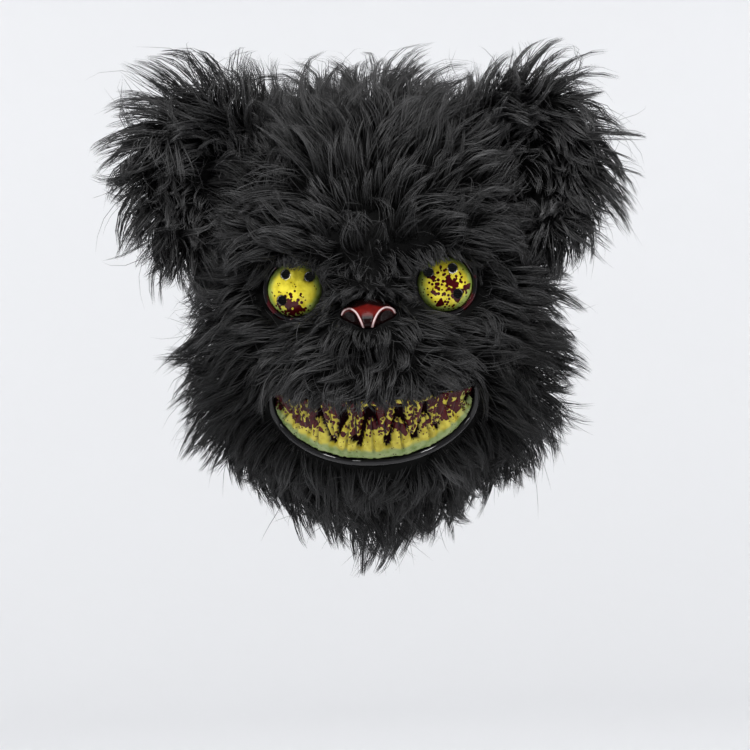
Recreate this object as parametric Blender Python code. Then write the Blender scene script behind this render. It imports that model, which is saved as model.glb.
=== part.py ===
"""A plush bear mask for fancy dress: a hard moulded face shell under long black fur.

The frame has its origin on the inside of the forehead, where the shell bears on the wearer.
+X is the viewer's right, +Y runs back into the wearer's head and +Z is up.
Face heights are written from the eye line, and depths from the plane of the shell's rim.
Every length is in metres.
"""

import math

import bmesh
import bpy
import mathutils
import numpy as np

# Shell
HALF_WIDTH = 0.097
CROWN_HEIGHT = 0.108
CHIN_DROP = 0.142
DOME_DEPTH = 0.094
SHELL_WALL = 0.0016
SEAT_HEIGHT = 0.055
WIDTH_POWER = 2.6
DEPTH_POWER = 2.2

# Relief of the face
MUZZLE_HALF_WIDTH = 0.064
MUZZLE_HALF_HEIGHT = 0.062
MUZZLE_DROP = 0.066
MUZZLE_RISE = 0.040
NOSE_DROP = 0.017
NOSE_HALF_WIDTH = 0.0165
NOSE_HALF_HEIGHT = 0.0090
NOSE_RISE = 0.0085
NOSE_TAPER = 0.42
NOSE_PAD = (1.15, 0.75)
NOSTRIL = (0.50, -0.30, 0.32, 0.42)
NOSTRIL_PRESS = 0.45
EYE_SIDE = 0.0445
EYE_RADIUS = 0.0165
BROW_RISE = 0.011
CHEEK_RISE = 0.009

# Eye caps and the rings that hold them
EYE_TURN = 9.0
EYE_BULGE = 0.0075
EYE_DOME_TURN = 1.30
EYE_WALL = 0.0015
EYE_HOLE_RADIUS = 0.0029
RING_WALL = 0.0030
RING_FRONT = 0.0030
RING_BACK = 0.0070

# Mouth
MOUTH_HALF_WIDTH = 0.060
MOUTH_DROP = 0.0640
MOUTH_DEPTH = 0.0385
MOUTH_TOP_SAG = 0.0060
MOUTH_CORNER = 0.0035
LIP_RADIUS = 0.0028
UPPER_LIP_RADIUS = 0.0014
LIP_SEAT = 0.5
LIP_OUTWARD = 0.4
LIP_FUR_CLEAR = 1.9
LIP_THINS_OVER = 0.010
TEETH_PLATE = 0.0015
TEETH_FLANGE = 0.0035
TOOTH_RELIEF = 0.0045
TEETH_PER_ROW = 9
TEETH_SPREAD = 1.32
TOOTH_LEAN = 0.10
TOOTH_TIP_HEIGHT = 0.35

# Fur
FUR_BACKING = 0.0025
FUR_LENGTH = 0.041
LOCK_SPACING = 0.0240
LOCK_ROW_SHARE = 0.86
LOCK_FIRST_ROW = 0.020
RIM_BARE = 0.005
LOCK_HALF_WIDTH = 0.0115
LOCK_THICKNESS = 0.0048
LOCK_SINK = 0.0010
LOCK_ROOT = 0.6
LOCK_LEANS = (0.90, 1.30)
LOCK_PASSES = 0.009
LOCK_MARGIN = 0.0035
LOCK_SPREAD = (0.92, 1.08)
SHORTER_LOCKS = (1.0, 0.65, 0.42)
LOCK_SIZE = (0.45, 0.55)
LOCK_EAR_MARGIN = 0.0086

# Ears
EAR_SIDE = 0.097
EAR_HEIGHT = 0.068
EAR_BACK = 0.036
EAR_HALF_WIDTH = 0.041
EAR_HALF_HEIGHT = 0.049
EAR_CUP = 0.018
EAR_TURN = 12.0
EAR_LEAN = 10.0
EAR_FUR_LENGTH = 0.026
EAR_LOCK_LEANS = (0.30, 0.95)
EAR_LOCK_CLEAR = 1.17
EAR_LOCK_DROOP = 0.55
EAR_LOCK_FLARE = 0.5

# Strap
STRAP_HEIGHT = 0.006
STRAP_WIDTH = 0.030
STRAP_THICKNESS = 0.0012
STRAP_REACH = 0.105
STRAP_OVERLAP = 0.038
STRAP_CLEARANCE = 0.0006
STRAP_POINTS = 20
RIVET_RADIUS = 0.0017
RIVET_HEAD_RADIUS = 0.0045
RIVET_HEAD = 0.0012
RIVET_INSET = 0.010
RIVET_HEAD_TAPER = 0.8

# Gaps and meshing
GAP = 0.0003
COLUMNS = 28
RINGS = 10
FLAT_ANGLE = 0.5
SMOOTH_ANGLE = 35.0
EYE_SIDES = 16
FUR_CUT_SIDES = 24
SMALL_SIDES = 8
NOSE_SIDES = 16
NOSE_RINGS = 4
EAR_SIDES = 18
LIP_SIDES = 5
MOUTH_POINTS = 7

# The shell's outline from crown to chin: side as a share of HALF_WIDTH, and height as a share
# of CROWN_HEIGHT above the eye line and of CHIN_DROP below it.
OUTLINE_ROWS = (
    (0.00, 1.00),
    (0.37, 0.97),
    (0.68, 0.84),
    (0.85, 0.60),
    (0.93, 0.33),
    (0.97, 0.05),
    (1.00, -0.22),
    (0.98, -0.46),
    (0.87, -0.64),
    (0.67, -0.80),
    (0.43, -0.92),
    (0.20, -0.98),
    (0.00, -1.00),
)

# Rises and dents of the face, the ones off its middle line on both sides of it: where the
# middle lies (side, height), half width, half height, rise and how square the form is.
RELIEF_ROWS = (
    (0.0, -MUZZLE_DROP, MUZZLE_HALF_WIDTH, MUZZLE_HALF_HEIGHT, MUZZLE_RISE, 2.4),
    (0.0, -NOSE_DROP, 1.6 * NOSE_HALF_WIDTH, 2.8 * NOSE_HALF_HEIGHT, 0.35 * MUZZLE_RISE, 2.0),
    (0.0, 0.25 * EYE_RADIUS, 0.40 * EYE_SIDE, 0.80 * EYE_SIDE, 0.80 * BROW_RISE, 2.0),
    (0.95 * EYE_SIDE, 1.55 * EYE_RADIUS, EYE_SIDE, 1.10 * EYE_RADIUS, BROW_RISE, 2.0),
    (EYE_SIDE, 0.0, 1.70 * EYE_RADIUS, 1.60 * EYE_RADIUS, -0.55 * EYE_RADIUS, 2.0),
    (0.72 * HALF_WIDTH, -0.35 * CHIN_DROP, 0.30 * HALF_WIDTH, 0.25 * CHIN_DROP, CHEEK_RISE, 2.0),
    (0.0, -0.88 * CHIN_DROP, 0.35 * HALF_WIDTH, 0.17 * CHIN_DROP, 0.90 * CHEEK_RISE, 2.0),
)
RELIEF_ENDS = (0.78, 0.97)

# How the fur lies: side and height as in OUTLINE_ROWS, then which way it is combed (sideways,
# upward) and its length as a share of FUR_LENGTH. The left half mirrors the right.
COMB_ROWS = (
    (0.00, 0.95, 0.10, 1.00, 0.95),
    (0.00, 0.50, 0.05, 1.00, 0.95),
    (0.00, 0.16, 0.00, 1.00, 0.55),
    (0.16, -0.04, 0.30, 0.60, 0.30),
    (0.42, 0.80, 0.55, 0.90, 0.95),
    (0.42, 0.42, 0.70, 0.70, 1.00),
    (0.50, 0.20, 0.90, 0.10, 0.70),
    (0.82, 0.50, 1.00, 0.30, 0.90),
    (0.80, 0.08, 1.00, -0.10, 0.90),
    (0.95, -0.16, 0.85, -0.55, 1.00),
    (0.60, -0.24, 0.60, -0.80, 0.80),
    (0.98, -0.48, 0.75, -0.75, 1.05),
    (0.74, -0.68, 0.60, -0.85, 1.00),
    (0.00, -0.24, 0.00, -1.00, 0.50),
    (0.30, -0.32, 0.25, -1.00, 0.70),
    (0.00, -0.42, 0.00, -1.00, 0.65),
    (0.00, -0.84, 0.00, -1.00, 0.80),
    (0.40, -0.86, 0.40, -1.00, 0.95),
    (0.00, -0.98, 0.00, -1.00, 0.95),
)
COMB_BACKWARD = 0.35
COMB_BLEND = 0.004
COMB_SWING = 0.12

# An ear from the middle of its front, over the rim, to the middle of its back: distance from
# the middle as a share of its half sizes, and height to the front as a share of EAR_CUP.
EAR_PROFILE = (
    (0.36, 0.04),
    (0.63, 0.28),
    (0.83, 0.70),
    (0.95, 0.93),
    (1.00, 0.66),
    (0.95, 0.22),
    (0.78, -0.22),
    (0.45, -0.56),
)
EAR_FRONT_MIDDLE = 0.0
EAR_BACK_MIDDLE = -0.70

# Rows of locks round an ear: distance out and rise as in EAR_PROFILE, how many, how far they
# point outward and how far to the front, and their length as a share of EAR_FUR_LENGTH.
EAR_LOCK_ROWS = (
    (0.92, 0.88, 15, 0.80, 0.60, 1.00),
    (0.97, 0.45, 15, 1.00, -0.10, 1.00),
    (0.80, -0.15, 10, 0.75, -0.65, 0.90),
    (0.45, -0.52, 5, 0.45, -0.90, 0.75),
)

# Rows of teeth: where they root and how far their tips reach, from 0 at the opening's lower
# edge to 1 at its upper edge, how many fewer than TEETH_PER_ROW, and how wide and thick.
TEETH_ROWS = (
    (0.0, 0.72, 0, 0.86, 1.00),
    (1.0, 0.38, 1, 0.72, 0.85),
)

# A tooth's cross-section (across, outward), and its two sections (how far along, how wide)
TOOTH_SECTION = ((-1.0, 0.0), (-0.55, 0.85), (0.0, 1.0), (0.55, 0.85), (1.0, 0.0))
TOOTH_RINGS = ((0.0, 0.82), (0.45, 1.0))

# See-through holes of an eye: outward and upward from its middle, as shares of EYE_RADIUS
EYE_HOLES = ((-0.62, 0.44), (0.26, 0.56), (0.42, -0.38))

MATERIALS = {
    "black_plastic": ((0.012, 0.012, 0.014, 1.0), 0.18),
    "yellow_plastic": ((0.72, 0.68, 0.05, 1.0), 0.22),
    "red_plastic": ((0.17, 0.012, 0.008, 1.0), 0.2),
    "black_fur": ((0.016, 0.016, 0.018, 1.0), 0.75),
    "elastic": ((0.02, 0.02, 0.02, 1.0), 0.8),
    "steel": ((0.55, 0.55, 0.56, 1.0), 0.35),
}


def height_of(share):
    """Height from the eye line of a share, of CROWN_HEIGHT above it and of CHIN_DROP below it."""
    return np.where(np.asarray(share) > 0, CROWN_HEIGHT, CHIN_DROP) * share


def smooth_step(low, high, value):
    share = np.clip((value - low) / (high - low), 0.0, 1.0)
    return share * share * (3 - 2 * share)


def closed_spline(points, count):
    """count points along the smooth closed curve through points (a Catmull-Rom spline)."""
    points = np.asarray(points, float)
    places = np.arange(count) * len(points) / count
    first = np.floor(places).astype(int)
    t = (places - first)[:, None]
    before, start, end, after = (points[(first + k) % len(points)] for k in (-1, 0, 1, 2))
    curve = 2 * start + (end - before) * t + (2 * before - 5 * start + 4 * end - after) * t**2
    return (curve + (3 * start - before - 3 * end + after) * t**3) / 2


def outline(count):
    """The shell's rim as (side, height), clockwise from the crown as the viewer sees it."""
    right = [(side * HALF_WIDTH, float(height_of(up))) for side, up in OUTLINE_ROWS]
    left = [(-side, height) for side, height in right[-2:0:-1]]
    return closed_spline(right + left, count)


MIDDLE_HEIGHT = (CROWN_HEIGHT - CHIN_DROP) / 2
FINE_OUTLINE = outline(720) - (0.0, MIDDLE_HEIGHT)
FINE_ANGLES = np.unwrap(np.arctan2(FINE_OUTLINE[:, 0], FINE_OUTLINE[:, 1]))
FINE_RADII = np.hypot(FINE_OUTLINE[:, 0], FINE_OUTLINE[:, 1])


def rim_share(side, height):
    """How far out a point of the face lies: 0 in the middle and 1 at the rim."""
    up = height - MIDDLE_HEIGHT
    angle = np.mod(np.arctan2(side, up), 2 * math.pi)
    radius = np.interp(angle, FINE_ANGLES, FINE_RADII, period=2 * math.pi)
    return np.hypot(side, up) / radius


def bump(across, up, power):
    """1 in the middle, falling smoothly to 0 on the superellipse where across and up reach 1."""
    reach = (np.abs(across) ** power + np.abs(up) ** power) ** (1 / power)
    return (1 - np.clip(reach, 0, 1) ** 3) ** 1.5


def relief(side, height):
    """How far the face stands forward of the plain dome."""
    rise = 0.0
    for across, up, half_width, half_height, peak, power in RELIEF_ROWS:
        away = side if across == 0 else np.abs(side) - across
        rise = rise + peak * bump(away / half_width, (height - up) / half_height, power)
    return rise * (1 - smooth_step(*RELIEF_ENDS, rim_share(side, height)))


def surface_y(side, height):
    """Depth of the shell's outer surface, forward of the rim plane and so negative."""
    share = np.clip(rim_share(side, height), 0, 1)
    dome = (1 - share**WIDTH_POWER) ** (1 / DEPTH_POWER)
    return -DOME_DEPTH * dome - relief(side, height)


def surface_normal(side, height):
    """Outward unit normal of the shell's outer surface, as an array of (x, y, z)."""
    step = 0.0004
    share = rim_share(side, height)
    inward = np.minimum(1.0, 0.992 / np.maximum(share, 1e-6))
    side, height = side * inward, MIDDLE_HEIGHT + (height - MIDDLE_HEIGHT) * inward
    slope_side = (surface_y(side + step, height) - surface_y(side - step, height)) / (2 * step)
    slope_up = (surface_y(side, height + step) - surface_y(side, height - step)) / (2 * step)
    normal = np.stack([slope_side, -np.ones_like(slope_side), slope_up], axis=-1)
    normal[share > 0.999, 1] = 0.0
    return normal / np.linalg.norm(normal, axis=-1, keepdims=True)


def dome_walk():
    """Distances along the plain dome from its middle to the rim, and the rim share at each."""
    turn = np.linspace(0, math.pi / 2, 400)
    out, forward = np.sin(turn) ** (2 / WIDTH_POWER), np.cos(turn) ** (2 / DEPTH_POWER)
    mean_radius = (HALF_WIDTH + (CROWN_HEIGHT + CHIN_DROP) / 2) / 2
    steps = np.hypot(np.diff(out) * mean_radius, np.diff(forward) * DOME_DEPTH)
    return np.concatenate([[0], np.cumsum(steps)]), out


def ring_shares():
    """Where the mesh's rings cross the dome, evenly spaced along it from the middle to the rim."""
    along, out = dome_walk()
    return np.interp(np.linspace(0, along[-1], RINGS + 1)[1:], along, out)


def face_grid(offset):
    """Points of the face surface moved outward by offset: the middle point, then each ring."""
    middle = np.array([0.0, MIDDLE_HEIGHT])
    places = [middle + share * (outline(COLUMNS) - middle) for share in ring_shares()]
    side, height = np.concatenate([[middle], *places]).T
    points = np.stack([side, surface_y(side, height), height], axis=1)
    points[-COLUMNS:, 1] = 0.0
    return points + surface_normal(side, height) * offset


def grid_faces(start, outward):
    """Faces of one face_grid whose middle point has the index start."""
    faces = []
    for column in range(COLUMNS):
        after = (column + 1) % COLUMNS
        faces.append((start, start + 1 + column, start + 1 + after))
        for ring in range(RINGS - 1):
            inner, outer = start + 1 + ring * COLUMNS, start + 1 + (ring + 1) * COLUMNS
            faces.append((inner + column, outer + column, outer + after, inner + after))
    return faces if outward else [face[::-1] for face in faces]


def add_object(name, points, faces, material=None):
    mesh = bpy.data.meshes.new(name)
    mesh.from_pydata([tuple(point) for point in points], [], faces)
    made = bpy.data.objects.new(name, mesh)
    bpy.context.scene.collection.objects.link(made)
    face_outward(made)
    if material:
        mesh.materials.append(material_of(material))
    return made


def face_outward(obj):
    """Splits a mesh's four-sided faces, which may be bent, and turns all its faces outward."""
    work = bmesh.new()
    work.from_mesh(obj.data)
    bent = [face for face in work.faces if len(face.verts) == 4]
    bmesh.ops.triangulate(work, faces=bent, quad_method="SHORT_EDGE")
    bmesh.ops.recalc_face_normals(work, faces=work.faces)
    work.to_mesh(obj.data)
    work.free()


def material_of(name):
    found = bpy.data.materials.get(name)
    if found:
        return found
    colour, roughness = MATERIALS[name]
    made = bpy.data.materials.new(name)
    made.use_nodes = True
    shader = made.node_tree.nodes["Principled BSDF"]
    shader.inputs["Base Color"].default_value = colour
    shader.inputs["Roughness"].default_value = roughness
    shader.inputs["Metallic"].default_value = 1.0 if name == "steel" else 0.0
    made.diffuse_color = colour
    return made


def combine(base, operation, *tools, self_crossing=False):
    """Applies an exact Boolean of each tool to base, and removes the tools."""
    for tool in tools:
        modifier = base.modifiers.new("combine", "BOOLEAN")
        modifier.operation = operation
        modifier.solver = "EXACT"
        modifier.use_self = self_crossing
        modifier.object = tool
        bpy.context.view_layer.update()
        graph = bpy.context.evaluated_depsgraph_get()
        result = bpy.data.meshes.new_from_object(base.evaluated_get(graph))
        base.modifiers.clear()
        base.data = result
        result.name = base.name
        bpy.data.objects.remove(tool)
    merge_flat(base)
    return base


def merge_flat(obj):
    """Joins the flat faces that a cut leaves split, which changes no form."""
    work = bmesh.new()
    work.from_mesh(obj.data)
    limit = math.radians(FLAT_ANGLE)
    bmesh.ops.dissolve_limit(work, angle_limit=limit, verts=work.verts, edges=work.edges)
    bmesh.ops.triangulate(work, faces=work.faces)
    work.to_mesh(obj.data)
    work.free()


def joined(name, parts):
    """One object that holds several separate closed meshes, for a single Boolean."""
    points, faces = [], []
    for part in parts:
        start = len(points)
        points += [part.matrix_basis @ vertex.co for vertex in part.data.vertices]
        faces += [tuple(start + k for k in face.vertices) for face in part.data.polygons]
        bpy.data.objects.remove(part)
    return add_object(name, points, faces)


def wall(name, inner_offset, outer_offset, material=None):
    """A closed wall between two offsets of the face surface, open at the rim."""
    outer, inner = face_grid(outer_offset), face_grid(inner_offset)
    faces = grid_faces(0, True) + grid_faces(len(outer), False)
    last = len(outer) - COLUMNS
    for column in range(COLUMNS):
        after = (column + 1) % COLUMNS
        back = len(outer) + last
        faces.append((last + column, back + column, back + after, last + after))
    return add_object(name, np.concatenate([outer, inner]), faces, material)


def plug(name, offset):
    """Everything behind the face surface moved outward by offset, far past the rim."""
    points = face_grid(offset)
    tail = points[-COLUMNS:] + (0.0, STRAP_REACH, 0.0)
    faces = grid_faces(0, True)
    last = len(points) - COLUMNS
    for column in range(COLUMNS):
        after = (column + 1) % COLUMNS
        faces.append((last + column, len(points) + column, len(points) + after, last + after))
    faces.append(tuple(range(len(points), len(points) + COLUMNS)))
    return add_object(name, np.concatenate([points, tail]), faces)


def prism(name, loop, front, back):
    """A straight block along Y whose ends have the (side, height) outline of loop."""
    count = len(loop)
    points = [(side, y, height) for y in (front, back) for side, height in loop]
    sides = [(k, (k + 1) % count, count + (k + 1) % count, count + k) for k in range(count)]
    ends = [tuple(range(count)), tuple(range(2 * count - 1, count - 1, -1))]
    return add_object(name, points, sides + ends)


def rod(name, profile, count, material=None):
    """A closed solid turned about +Y from an open list of (radius, depth), with flat ends."""
    angles = np.arange(count) * 2 * math.pi / count
    points = [(r * math.sin(a), y, r * math.cos(a)) for r, y in profile for a in angles]
    faces = [tuple(range(count)), tuple(range(len(points) - 1, len(points) - count - 1, -1))]
    for row in range(len(profile) - 1):
        for k in range(count):
            after = (k + 1) % count
            first = row * count
            faces.append((first + k, first + after, first + count + after, first + count + k))
    return add_object(name, points, faces, material)


def place(obj, position, turn=0.0):
    """Sets an object's location, and its turn about Z in degrees."""
    obj.location = position
    obj.rotation_euler.z = math.radians(turn)
    return obj


def mouth_loop(grow_low, grow_top):
    """The mouth opening's outline, grown below by grow_low and above by grow_top."""
    low_angles = np.linspace(math.pi, 2 * math.pi, 2 * MOUTH_POINTS)
    low_side = (MOUTH_HALF_WIDTH + grow_low) * np.cos(low_angles)
    low_height = -MOUTH_DROP + (MOUTH_DEPTH + grow_low) * np.sin(low_angles)
    top_side = np.linspace(MOUTH_HALF_WIDTH + grow_low, -MOUTH_HALF_WIDTH - grow_low, MOUTH_POINTS)
    sag = MOUTH_TOP_SAG * (1 - (top_side / (MOUTH_HALF_WIDTH + grow_low)) ** 2)
    top_height = -MOUTH_DROP + MOUTH_CORNER + grow_top - sag
    low = np.stack([low_side, low_height], axis=1)
    top = np.stack([top_side, top_height], axis=1)
    return np.concatenate([low, top])


def nose_loop(grow, count=NOSE_SIDES):
    """The nose's outline: a rounded triangle that is wide above and narrow below."""
    angles = np.arange(count) * 2 * math.pi / count
    narrow = 1 - NOSE_TAPER * smooth_step(-0.1, -1.0, np.cos(angles))
    side = (NOSE_HALF_WIDTH + grow) * np.sin(angles) * narrow
    height = -NOSE_DROP + (NOSE_HALF_HEIGHT + grow) * np.cos(angles)
    return np.stack([side, height], axis=1)


def eye_place(hand):
    """The middle of an eye's opening on the shell's outer surface."""
    side = hand * EYE_SIDE
    return (side, float(surface_y(np.array(side), np.array(0.0))), 0.0)


def ring_radius():
    return EYE_RADIUS + GAP + RING_WALL


def socket_boss(hand):
    profile = [(ring_radius(), -RING_FRONT), (ring_radius(), RING_BACK)]
    return place(rod("socket_boss", profile, EYE_SIDES), eye_place(hand), hand * EYE_TURN)


def socket_bore(hand):
    reach = 3 * RING_BACK
    bore = EYE_RADIUS + GAP
    cutter = rod("socket_bore", [(bore, -reach), (bore, reach)], EYE_SIDES)
    return place(cutter, eye_place(hand), hand * EYE_TURN)


def lip():
    """A rolled edge round the mouth opening, thick below and thin above."""
    sides = LIP_SIDES
    loop = mouth_loop(LIP_OUTWARD * LIP_RADIUS, LIP_OUTWARD * UPPER_LIP_RADIUS)
    corner = -MOUTH_DROP + MOUTH_CORNER - 0.5 * MOUTH_TOP_SAG
    lower = 1 - smooth_step(corner - LIP_THINS_OVER, corner, loop[:, 1])
    radii = UPPER_LIP_RADIUS + (LIP_RADIUS - UPPER_LIP_RADIUS) * lower
    line = np.stack([loop[:, 0], surface_y(loop[:, 0], loop[:, 1]), loop[:, 1]], axis=1)
    along = np.roll(line, -1, axis=0) - np.roll(line, 1, axis=0)
    along /= np.linalg.norm(along, axis=1, keepdims=True)
    out = surface_normal(loop[:, 0], loop[:, 1])
    line += out * np.maximum(radii - LIP_SEAT * SHELL_WALL, 0.0)[:, None]
    across = np.cross(along, out)
    across /= np.linalg.norm(across, axis=1, keepdims=True)
    out = np.cross(across, along)
    angles = np.arange(sides) * 2 * math.pi / sides
    points = [
        line[k] + radii[k] * (math.cos(a) * across[k] + math.sin(a) * out[k])
        for k in range(len(line))
        for a in angles
    ]
    faces = []
    for k in range(len(line)):
        first, second = k * sides, ((k + 1) % len(line)) * sides
        for j in range(sides):
            after = (j + 1) % sides
            faces.append((first + j, first + after, second + after, second + j))
    return add_object("lip", points, faces)


def rivet_place(hand):
    """Where a rivet's axis crosses the strap, and its turn about Z."""
    y = -STRAP_OVERLAP + RIVET_INSET
    step = 0.001
    wall_line = strap_wall(np.array([y - step, y, y + step]))
    turn = math.degrees(math.atan2(wall_line[2] - wall_line[0], 2 * step))
    return (hand * float(wall_line[1]), y, STRAP_HEIGHT), hand * (90 - turn)


def rivet_hole(hand):
    """The cutter of a rivet's hole, through the shell and the strap."""
    position, turn = rivet_place(hand)
    bore = RIVET_RADIUS + GAP
    length = 3 * (SHELL_WALL + STRAP_CLEARANCE + STRAP_THICKNESS)
    return place(rod("rivet_hole", [(bore, -length), (bore, length)], SMALL_SIDES), position, turn)


def make_shell():
    shell = wall("shell", -SHELL_WALL, 0.0, "black_plastic")
    combine(shell, "UNION", joined("bosses", [socket_boss(hand) for hand in (-1, 1)]))
    cuts = [prism("mouth_cut", mouth_loop(0.0, 0.0), -2 * DOME_DEPTH, 0.0)]
    for hand in (-1, 1):
        cuts += [socket_bore(hand), rivet_hole(hand)]
    combine(shell, "DIFFERENCE", joined("cuts", cuts))
    combine(shell, "UNION", lip())
    return shell


def make_eye(name, hand):
    """A domed cap with see-through holes, whose flange seats behind the shell's ring."""
    inside = EYE_RADIUS - EYE_WALL
    flange_front = RING_BACK + GAP
    back = flange_front + EYE_WALL
    front = -RING_FRONT
    turns = np.linspace(0, EYE_DOME_TURN, 3)
    dome = [(EYE_RADIUS * math.cos(a), front - EYE_BULGE * math.sin(a)) for a in turns]
    hollow = [(inside * math.cos(a), front - (EYE_BULGE - EYE_WALL) * math.sin(a)) for a in turns[::-1]]
    flange = [(inside, back), (ring_radius(), back)]
    flange += [(ring_radius(), flange_front), (EYE_RADIUS, flange_front)]
    cap = rod(name, hollow + flange + dome, EYE_SIDES, "yellow_plastic")
    holes = []
    for outward, up in EYE_HOLES:
        reach = [(EYE_HOLE_RADIUS, front + RING_BACK), (EYE_HOLE_RADIUS, front - 2 * EYE_BULGE)]
        hole = rod("hole", reach, SMALL_SIDES)
        holes.append(place(hole, (hand * outward * EYE_RADIUS, 0.0, up * EYE_RADIUS)))
    combine(cap, "DIFFERENCE", joined("holes", holes))
    return place(cap, eye_place(hand), hand * EYE_TURN)


def nose_front(side, height):
    """How far the nose stands out of the muzzle, with its two nostrils pressed in."""
    across = side / NOSE_HALF_WIDTH
    up = (height + NOSE_DROP) / NOSE_HALF_HEIGHT
    full, flat = NOSE_PAD
    pad = np.sqrt(np.clip(full - across**2 - flat * up**2, 0.05, 1))
    middle, low, half_width, half_height = NOSTRIL
    nostril = bump((np.abs(across) - middle) / half_width, (up - low) / half_height, 2.0)
    return NOSE_RISE * (pad - NOSTRIL_PRESS * nostril)


def make_nose():
    """The nose's pad, whose back is cut to lie on the muzzle."""
    columns, rings = NOSE_SIDES, NOSE_RINGS
    points = [(0.0, 0.0, -NOSE_DROP)]
    loop = nose_loop(0.0)
    for ring in range(1, rings + 1):
        share = ring / rings
        points += [(s * share, 0.0, -NOSE_DROP + (h + NOSE_DROP) * share) for s, h in loop]
    points = np.array(points)
    front = surface_y(points[:, 0], points[:, 2]) - nose_front(points[:, 0], points[:, 2])
    points[:, 1] = front
    back = points[-columns:].copy()
    back[:, 1] = surface_y(np.array(0.0), np.array(-NOSE_DROP)) + 2 * NOSE_RISE
    faces = [(0, 1 + k, 1 + (k + 1) % columns) for k in range(columns)]
    for ring in range(rings):
        first, second = 1 + ring * columns, 1 + (ring + 1) * columns
        for k in range(columns):
            after = (k + 1) % columns
            faces.append((first + k, second + k, second + after, first + after))
    faces.append(tuple(range(len(points), len(points) + columns)))
    nose = add_object("nose", np.concatenate([points, back]), faces, "red_plastic")
    return combine(nose, "DIFFERENCE", plug("muzzle_plug", GAP))


def mouth_height(side, share):
    """Height at a side of the mouth opening, from 0 at its lower edge to 1 at its upper edge."""
    inward = 1 - (side / MOUTH_HALF_WIDTH) ** 2
    low = -MOUTH_DROP - MOUTH_DEPTH * math.sqrt(inward)
    top = -MOUTH_DROP + MOUTH_CORNER - MOUTH_TOP_SAG * inward
    return low + share * (top - low)


def on_face(side, height):
    """The point of the shell's outer surface at a side and height, and the normal there."""
    side, height = np.array(side, float), np.array(height, float)
    return np.array([side, surface_y(side, height), height]), surface_normal(side, height)


def tooth(root_place, tip_place, half_width, thickness, sink):
    """A pointed tooth that lies along the face from its root to its tip, sunk into the gum."""
    root, out = on_face(*root_place)
    tip, _ = on_face(*tip_place)
    along = (tip - root) / np.linalg.norm(tip - root)
    across = np.cross(along, out)
    across /= np.linalg.norm(across)
    out = np.cross(across, along)
    count = len(TOOTH_SECTION)
    points = []
    for share, width in TOOTH_RINGS:
        middle = root - out * sink + (tip - root) * share
        for wide, high in TOOTH_SECTION:
            points.append(middle + half_width * width * wide * across + thickness * high * out)
    points.append(tip + out * (TOOTH_TIP_HEIGHT * thickness - sink))
    faces = [tuple(range(count))]
    for k in range(count):
        after = (k + 1) % count
        faces.append((k, after, count + after, count + k))
        faces.append((count + k, count + after, 2 * count))
    return add_object("tooth", points, faces)


def make_teeth():
    """Both rows of pointed teeth and the gum on one plate behind the shell's mouth opening."""
    front = SHELL_WALL + GAP
    plate = wall("teeth", -front - TEETH_PLATE, -front, "yellow_plastic")
    flange = mouth_loop(TEETH_FLANGE, TEETH_FLANGE)
    combine(plate, "INTERSECT", prism("flange", flange, -2 * DOME_DEPTH, -0.2 * DOME_DEPTH))
    sink = front + TEETH_PLATE / 2
    teeth = []
    for root, reach, fewer, width, thick in TEETH_ROWS:
        count = TEETH_PER_ROW - fewer
        for index in range(count):
            share = (2 * index + 1 - count) / TEETH_PER_ROW
            side = MOUTH_HALF_WIDTH * math.sin(TEETH_SPREAD * share)
            tip_side = side * (1 - TOOTH_LEAN)
            places = (side, mouth_height(side, root)), (tip_side, mouth_height(tip_side, reach))
            half_width = width * MOUTH_HALF_WIDTH / TEETH_PER_ROW
            teeth.append(tooth(*places, half_width, thick * (sink - SHELL_WALL + TOOTH_RELIEF), sink))
    combine(teeth[0], "UNION", *teeth[1:])
    inside = mouth_loop(-GAP - LIP_RADIUS, -GAP - 1.2 * UPPER_LIP_RADIUS)
    combine(teeth[0], "INTERSECT", prism("opening", inside, -2 * DOME_DEPTH, 0.0))
    return combine(plate, "UNION", teeth[0])


def comb_at(side, height):
    """Combing direction (sideways, back, upward) and length share at points of the face."""
    rows = np.array(COMB_ROWS)
    centres = np.stack([rows[:, 0] * HALF_WIDTH, height_of(rows[:, 1])], axis=1)
    apart = np.hypot(np.abs(side)[:, None] - centres[:, 0], height[:, None] - centres[:, 1])
    weight = 1 / (apart + COMB_BLEND) ** 3
    weight /= weight.sum(axis=1, keepdims=True)
    sideways, upward, length = (weight @ rows[:, column] for column in (2, 3, 4))
    mirror = np.tanh(side / COMB_BLEND)
    direction = np.stack([sideways * mirror, np.full_like(side, COMB_BACKWARD), upward], axis=1)
    return direction, length


def lock_line(root, out, comb, length, leans):
    """Root, bend and tip of a lock whose two halves lean from out toward comb by two angles."""
    comb = comb - out * (comb @ out)
    comb /= np.linalg.norm(comb)
    line = [root]
    for lean in leans:
        line.append(line[-1] + (math.cos(lean) * out + math.sin(lean) * comb) * length / 2)
    bend = sum(leans) / 2
    over = [-comb, math.sin(bend) * out - math.cos(bend) * comb]
    return line, over, np.cross(comb, out)


def lock_mesh(line, over, across, half_width, thickness, start):
    """A three-sided tapered lock as points and faces, whose point indices begin at start."""
    points = []
    for middle, rise, width in ((line[0], over[0], LOCK_ROOT), (line[1], over[1], 1.0)):
        low = middle - rise * thickness * 0.5 * width
        wide = across * half_width * width
        points += [low - wide, low + wide, middle + rise * thickness * width]
    points.append(line[2])
    faces = [(start, start + 1, start + 2)]
    for k in range(3):
        after = (k + 1) % 3
        faces.append((start + k, start + after, start + 3 + after, start + 3 + k))
        faces.append((start + 3 + k, start + 3 + after, start + 6))
    return points, faces


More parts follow.
